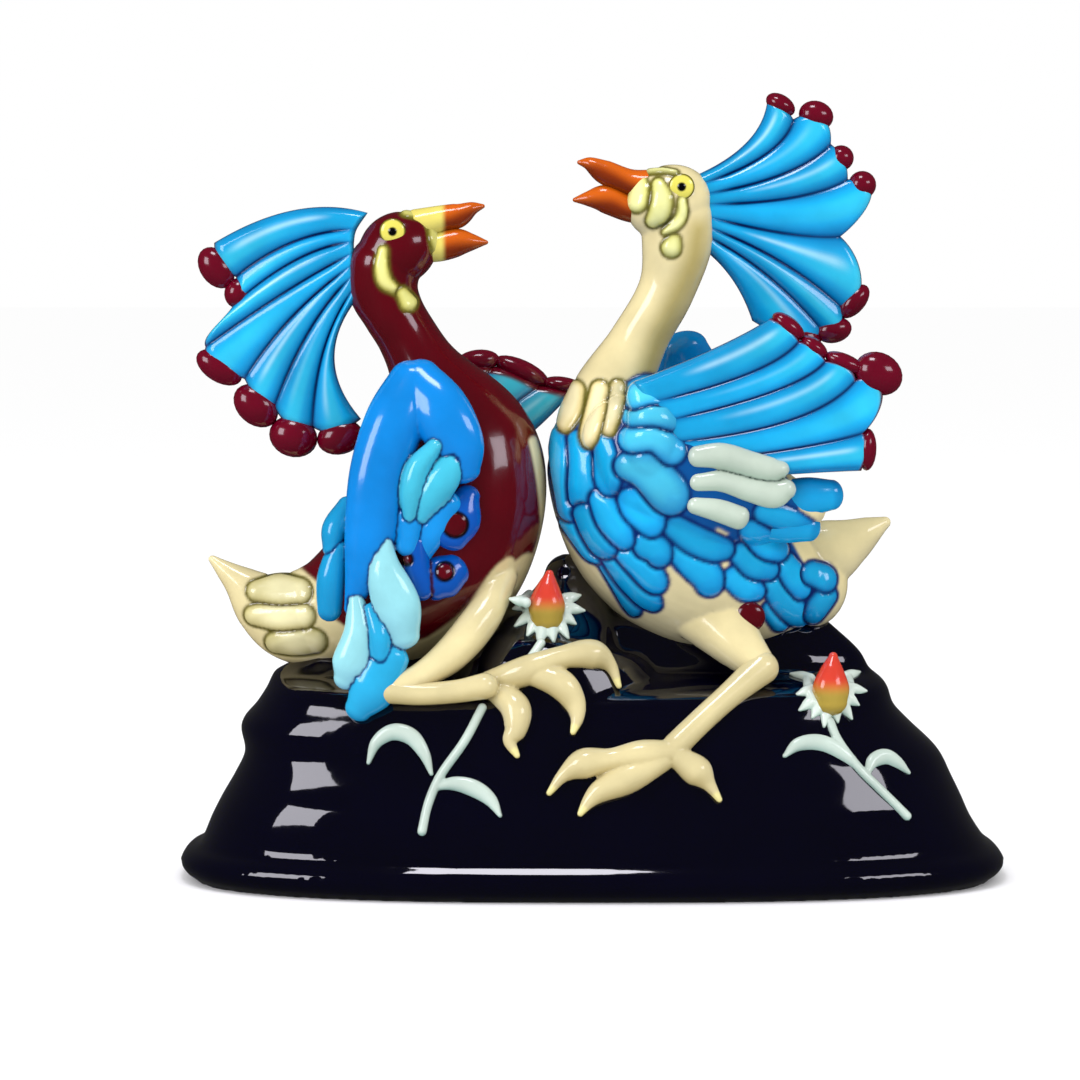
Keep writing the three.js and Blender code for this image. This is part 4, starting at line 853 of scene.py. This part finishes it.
leftWing = {
    "hood": [
        [(-64, -26, 105, 10, 8), (-71, -31, 92, 11, 9), (-77, -35, 74, 10.5, 7.5), (-80, -37, 52, 9.5, 6),
         (-83, -38, 38, 6.5, 5), (-87, -38, 25, 2.6, 3)],
        [(-64, -26, 105, 10, 8), (-55, -33, 95, 11, 7.5), (-48.5, -36, 83, 9.5, 5.5),
         (-47, -35, 74, 6.5, 4.5)]],
    "leaves": [
        [(-56.8, -38, 83.3, 3, 4), (-62.8, -39, 75.7, 4.4, 4.5), (-65.3, -39, 66.6, 4.2, 4.5),
         (-66, -38, 58.4, 2.6, 3.5)],
        [(-48.2, -36, 82.7, 3, 4), (-53.2, -38, 73, 6, 4.6), (-58.8, -38, 64.6, 6, 4.6),
         (-61.5, -37, 58.3, 3, 3.5)],
        [(-61, -34, 76, 5, 5), (-65, -36, 62, 5.5, 4.5), (-67, -37, 47, 4, 3.5)],
        [(-54, -35, 63, 7, 5), (-59, -35, 50, 5, 4), (-61, -34, 44, 3, 3.4)]],
    "eyeFeathers": [
        [(-45.2, -31, 64.9, 4.6, 4), (-48.4, -33, 57.7, 8.4, 5), (-52.5, -34, 50.7, 7.3, 4.6)],
        [(-49.7, -31, 38.8, 6.4, 4), (-54.4, -33, 35.7, 8.1, 5), (-58, -34, 33.2, 6.4, 4.6)],
        [(-64.2, -35, 48.3, 4.6, 4), (-63.4, -36, 38.8, 5, 4.4), (-61.7, -36, 31.4, 4.6, 4)]],
    "eyeSpots": [[(-49.6, 55.1, 4.4)], [(-53.4, 38.2, 3.1)], [(-67, 42.8, 2)]],
    "lower": [
        [(-73.3, -41, 8.5, 7.6, 5), (-79.2, -42, -3.3, 8.7, 5.4), (-84.4, -41, -10.9, 5.1, 4.4)],
        [(-85.2, -39, 27.9, 3.3, 3.6), (-84.3, -41, 16.6, 5.5, 4.6), (-87, -42, 5.7, 6.9, 5),
         (-88.9, -41, 0.2, 4.5, 4.2)],
        [(-79.9, -41, 24.9, 2.4, 3), (-76.8, -43, 15.7, 4, 4), (-76.5, -43, 8.5, 3.6, 3.6)],
        [(-74, -39, 48.5, 2, 3), (-74.6, -41, 39.4, 6.4, 5), (-70.5, -42, 26, 8.7, 5.5),
         (-68.2, -41, 15.1, 6, 4.6)]],
    "edge": [[(-89, -28, 61, 3.5, 5), (-93, -31, 53, 4.8, 5.4), (-94, -32, 46, 3.6, 4.6)],
        [(-92, -32, 46, 4, 4.6), (-94.5, -33, 35, 5.2, 5), (-95, -33, 24, 4.6, 4.4)]],
    "hoodGlaze": shade(10, 124, 202), "edgeGlazes": [shade(24, 140, 190)] * 2,
    "leavesGlazes": [turquoise] * 2 + [shade(20, 140, 215)] * 2,
    "lowerGlazes": [shade(40, 160, 205), paleTeal] * 2,
    "grain": 0.5,
}

def makeLeftWing():
    look = leftWing
    lumps = [([limb("hood", part, 40, 70) for part in look["hood"]], look["hoodGlaze"])]
    for row in ("leaves", "lower", "edge"):
        lumps += [([limb(row, part)], glaze) for part, glaze in zip(look[row], look[row + "Glazes"])]
    skin = fusedGlazes("leftWing", lumps, look["grain"], lineWidth=0.7)
    skin.fire()
    finished(skin.thing, "blue_glaze", "left_near_wing", "left_inner_feathers",
             "left_lower_feathers", "left_edge_feather")

    lumps = [([limb("spotted", part)], royalBlue) for part in look["eyeFeathers"]]
    skin = fusedGlazes("leftEyeFeathers", lumps, look["grain"], line=maroon * 0.5)
    skin.petals(look["eyeSpots"], maroon, maroon, black, depth=0.9, tip=0)
    skin.fire()
    finished(skin.thing, "blue_glaze", "left_eye_feathers")

leftFar = {
    **blueFan, "dark": teal, "light": turquoise,
    "ribs": [
        [[-60, 82], [-56, 97], [-50, 108]], [[-56, 78], [-47, 94], [-37, 108.5]],
        [[-51, 74], [-36, 89], [-19, 101.5]], [[-48, 68], [-27, 80], [-7, 99]]],
    "y": (18, 30), "thickness": (9.6, 8),
    "scallops": (0.1, 0.08, 0.08), "relief": 0.4, "roll": 0.45, "rimWidth": 3,
    "perPlume": 22, "rows": 60,
    "beads": [(0, 0.5, 3.8, 1.9, 1.5), (1, 0.5, 3.7, 2.6, 1.5), (2, 0.5, 2.6, 2.6, 2.3)],
    "plumes": [
        [(-60, 26, 84, 5, 4), (-63, 29, 66, 6.4, 4), (-70, 30, 46, 4.6, 4)],
        [(-51, 24, 78, 5, 4), (-53, 28, 60, 6.4, 4), (-60, 30, 40, 4.6, 4)],
        [(-66, 24, 74, 5, 4), (-73, 26, 56, 6.4, 4), (-84, 26, 38, 4.6, 4)]],
}

# Flowers on the front of the rock: bud, toothed calyx, stem and leaves. Places are x, z pairs.

flowers = {
    "right": {
        "place": (85.5, -9.1), "stem": [(85, -16), (87.5, -22), (95, -32), (103, -40), (112.5, -49.5)],
        "leaves": [[(98, -35), (90.5, -28), (81.5, -23.3), (73.2, -23.5), (68.2, -27.2)],
        [(98, -34.8), (100.3, -30.3), (104.8, -29.2), (109.3, -31.3), (113.8, -35)]]},
    "middle": {
        "place": (-16.8, 19.8), "stem": [(-40, -10), (-46, -21), (-55, -34), (-59, -43), (-61.3, -52.8)],
        "neck": [(-19, 12), (-22, 8), (-26, 3.5)],
        "leaves": [[(-58.1, -33.2), (-60.7, -26.1), (-65.4, -20.2), (-71.9, -18.8), (-77.9, -22.6),
        (-80.8, -29.9)],
        [(-57.5, -38.2), (-50.6, -36.4), (-43, -37.9), (-37, -41.7), (-33.5, -47)]]},
    "bud": 6.7, "budHeight": 17.5, "budTop": shade(206, 64, 48), "budFoot": shade(170, 146, 62),
    "teeth": 10, "teethRise": 4.8, "teethReach": 13.7, "teethFrom": 0.93, "teethSpan": 1.14,
    "calyx": shade(206, 220, 208), "leaf": shade(186, 202, 190), "stalk": 1.7,
    "leafWidth": 3.2, "leafDepth": 2.2,
}

def sprig(name, places, widths, depths, **options):
    stations = [(x, skinAt(stoneTree, x, z, -1), z, w, d) for (x, z), w, d in zip(places, widths, depths)]
    return limb(name, stations, **options)

def stalk(name, places):
    count = len(places)
    return sprig(name, places, [flowers["stalk"]] * count, [flowers["stalk"] + 0.4] * count)

def leaf(name, places):
    shares = [0.25 + 0.75 * math.sin(math.pi * i / (len(places) - 1)) for i in range(len(places))]
    return sprig(name, places, [flowers["leafWidth"] * s for s in shares],
                 [flowers["leafDepth"] * (0.5 + 0.5 * s) for s in shares])

def makeFlower(side, look):
    x, z = look["place"]
    bud, height = flowers["bud"], flowers["budHeight"]
    y = skinAt(stoneTree, x, z, -1) - 1
    lump = limb(side + "Bud", [
        (x, y, z, 0.9 * bud, 0.8 * bud), (x, y, z + 0.3 * height, bud, 0.85 * bud),
        (x + 0.4, y + 1, z + 0.65 * height, 0.65 * bud, 0.6 * bud),
        (x + 0.9, y + 2, z + 0.92 * height, 0.25 * bud, 0.25 * bud)])
    skin = Skin(fused(side + "FlowerBud", [lump], 0.45, 3), flowers["budFoot"])
    skin.colour = mixed(skin.colour, flowers["budTop"], ramp(z + 2, z + 9, skin.z))
    skin.fire(groove=0.5)
    finished(skin.thing, "red_glaze", side + "_flower_bud")

    middle = z + flowers["teethRise"]
    turns = np.linspace(0, 1, flowers["teeth"]) * flowers["teethSpan"] + flowers["teethFrom"]
    rays = [(math.cos(math.pi * turn), math.sin(math.pi * turn)) for turn in turns]
    ring = [(x + 1.15 * bud * c, middle + 1.15 * bud * s) for c, s in rays]
    lumps = [sprig(side + "Cup", ring, [1.9] * len(ring), [2] * len(ring))]
    for number, (c, s) in enumerate(rays):
        reach = flowers["teethReach"] * (1 - 0.1 * (number % 2))
        places = [(x + away * c, middle + away * s) for away in (bud, (bud + reach) / 2, reach)]
        lumps.append(sprig(side + "Tooth", places, [2.4, 2.1, 0.6], [2, 2.1, 1.2], around=16, rings=24))
    if "neck" in look:
        lumps.append(stalk(side + "Neck", look["neck"]))
    skin = Skin(fused(side + "FlowerCalyx", lumps, 0.4, 2), flowers["calyx"])
    skin.fire(groove=1.2, poolAndShade=(0.2, 0.45, 0.4))
    finished(skin.thing, "pale_green_glaze", side + "_flower_calyx")

    lumps = [stalk(side + "Stalk", look["stem"])]
    lumps += [leaf(side + "Leaf", places) for places in look["leaves"]]
    skin = Skin(fused(side + "FlowerStem", lumps, 0.4, 2), flowers["leaf"])
    skin.fire(groove=1.2, poolAndShade=(0.2, 0.5, 0.5))
    finished(skin.thing, "pale_green_glaze", side + "_flower_stem")

print("right bird")
rightTree = treeOf(makeBody("rightBody", rightBird, rightWashes, rightFeathers, "cream_glaze",
                            "right_body", "right_tail", "right_near_wing", "right_neck_feathers"))
makeRightPale()
makeFan("rightPrimaries", rightWing, "blue_glaze", "right_primaries")
makeRightFarWing()
makeFan("rightCrest", rightCrest, "blue_glaze", "right_crest")
makeThighBead(rightTree)
makeEyes("right", rightTree)
makeLegs("right")

print("left bird")
leftTree = treeOf(makeBody("leftBody", leftBird, leftWashes, leftFeathers, "maroon_glaze",
                           "left_body", "left_tail"))
makeLeftWing()
makeFan("leftFarWing", leftFar, "turquoise_glaze", "left_far_wing")
makeFan("leftCrest", leftCrest, "blue_glaze", "left_crest")
makeEyes("left", leftTree)
makeLegs("left")

print("beaks")
for node, stations in beaks.items():
    makeBeak(node, stations)

print("flowers")
for side in ("right", "middle"):
    makeFlower(side, flowers[side])

# Camera, floor and lights

white = (1, 1, 1, 1)
# Ambient is the room's light on the glaze and mirrored what the glaze reflects of it.
# A box is name, place, width, height and power.
studio = {
    "camera": (-0.0193, -1.39355, 0.25818), "tilt": 5.5, "lens": 126.8, "floor": 12,
    "ambient": 0.98, "mirrored": 0.04, "target": (0, 0, 0.14), "tint": (0.93, 0.91, 1),
    "boxes": [
        ("leftBox", (-0.95, -0.8, 0.58), 0.5, 0.6, 5.5),
        ("rightBox", (0.85, -0.75, 0.66), 0.5, 0.3, 2.4),
        ("topBox", (-0.1, -0.35, 1.1), 0.3, 0.25, 2.6),
    ],
}

def placed(name, data, place):
    thing = bpy.data.objects.new(name, data)
    bpy.context.scene.collection.objects.link(thing)
    thing.location = place
    return thing

def softBox(name, place, width, height, power):
    lamp = bpy.data.lights.new(name, "AREA")
    lamp.shape = "RECTANGLE"
    lamp.size = width
    lamp.size_y = height
    lamp.energy = power
    lamp.color = studio["tint"]
    direction = Vector(studio["target"]) - Vector(place)
    placed(name, lamp, place).rotation_euler = direction.to_track_quat("-Z", "Y").to_euler()

def makeStudio():
    lens = bpy.data.cameras.new("camera")
    lens.lens = studio["lens"]
    lens.sensor_width = 36
    lens.clip_start = 0.05
    camera = placed("camera", lens, studio["camera"])
    camera.rotation_euler = (math.radians(90 - studio["tilt"]), 0, 0)
    bpy.context.scene.camera = camera

    bpy.ops.mesh.primitive_plane_add(size=studio["floor"], location=(0, 0, 0))
    floor = bpy.context.object
    floor.name = "floor"
    paper = bpy.data.materials.new("paper")
    paper.use_nodes = True
    withInputs(paper.node_tree.nodes["Principled BSDF"], Base_Color=white, Roughness=1,
               Specular_IOR_Level=0)
    floor.data.materials.append(paper)
    floor.visible_glossy = False

    world = bpy.data.worlds.new("world")
    world.use_nodes = True
    nodes, links = world.node_tree.nodes, world.node_tree.links
    shader = withInputs(nodes["Background"], Color=white, Strength=studio["ambient"])
    rays = nodes.new("ShaderNodeLightPath")
    for kind, strength in (("Is Glossy Ray", studio["mirrored"]), ("Is Camera Ray", 1)):  # white behind
        layer = withInputs(nodes.new("ShaderNodeBackground"), Color=white, Strength=strength)
        mix = nodes.new("ShaderNodeMixShader")
        links.new(rays.outputs[kind], mix.inputs["Fac"])
        links.new(shader.outputs[0], mix.inputs[1])
        links.new(layer.outputs[0], mix.inputs[2])
        shader = mix
    links.new(shader.outputs[0], nodes["World Output"].inputs["Surface"])
    bpy.context.scene.world = world
    for box in studio["boxes"]:
        softBox(*box)
    bpy.context.scene.view_settings.view_transform = "Standard"

print("studio")
makeStudio()
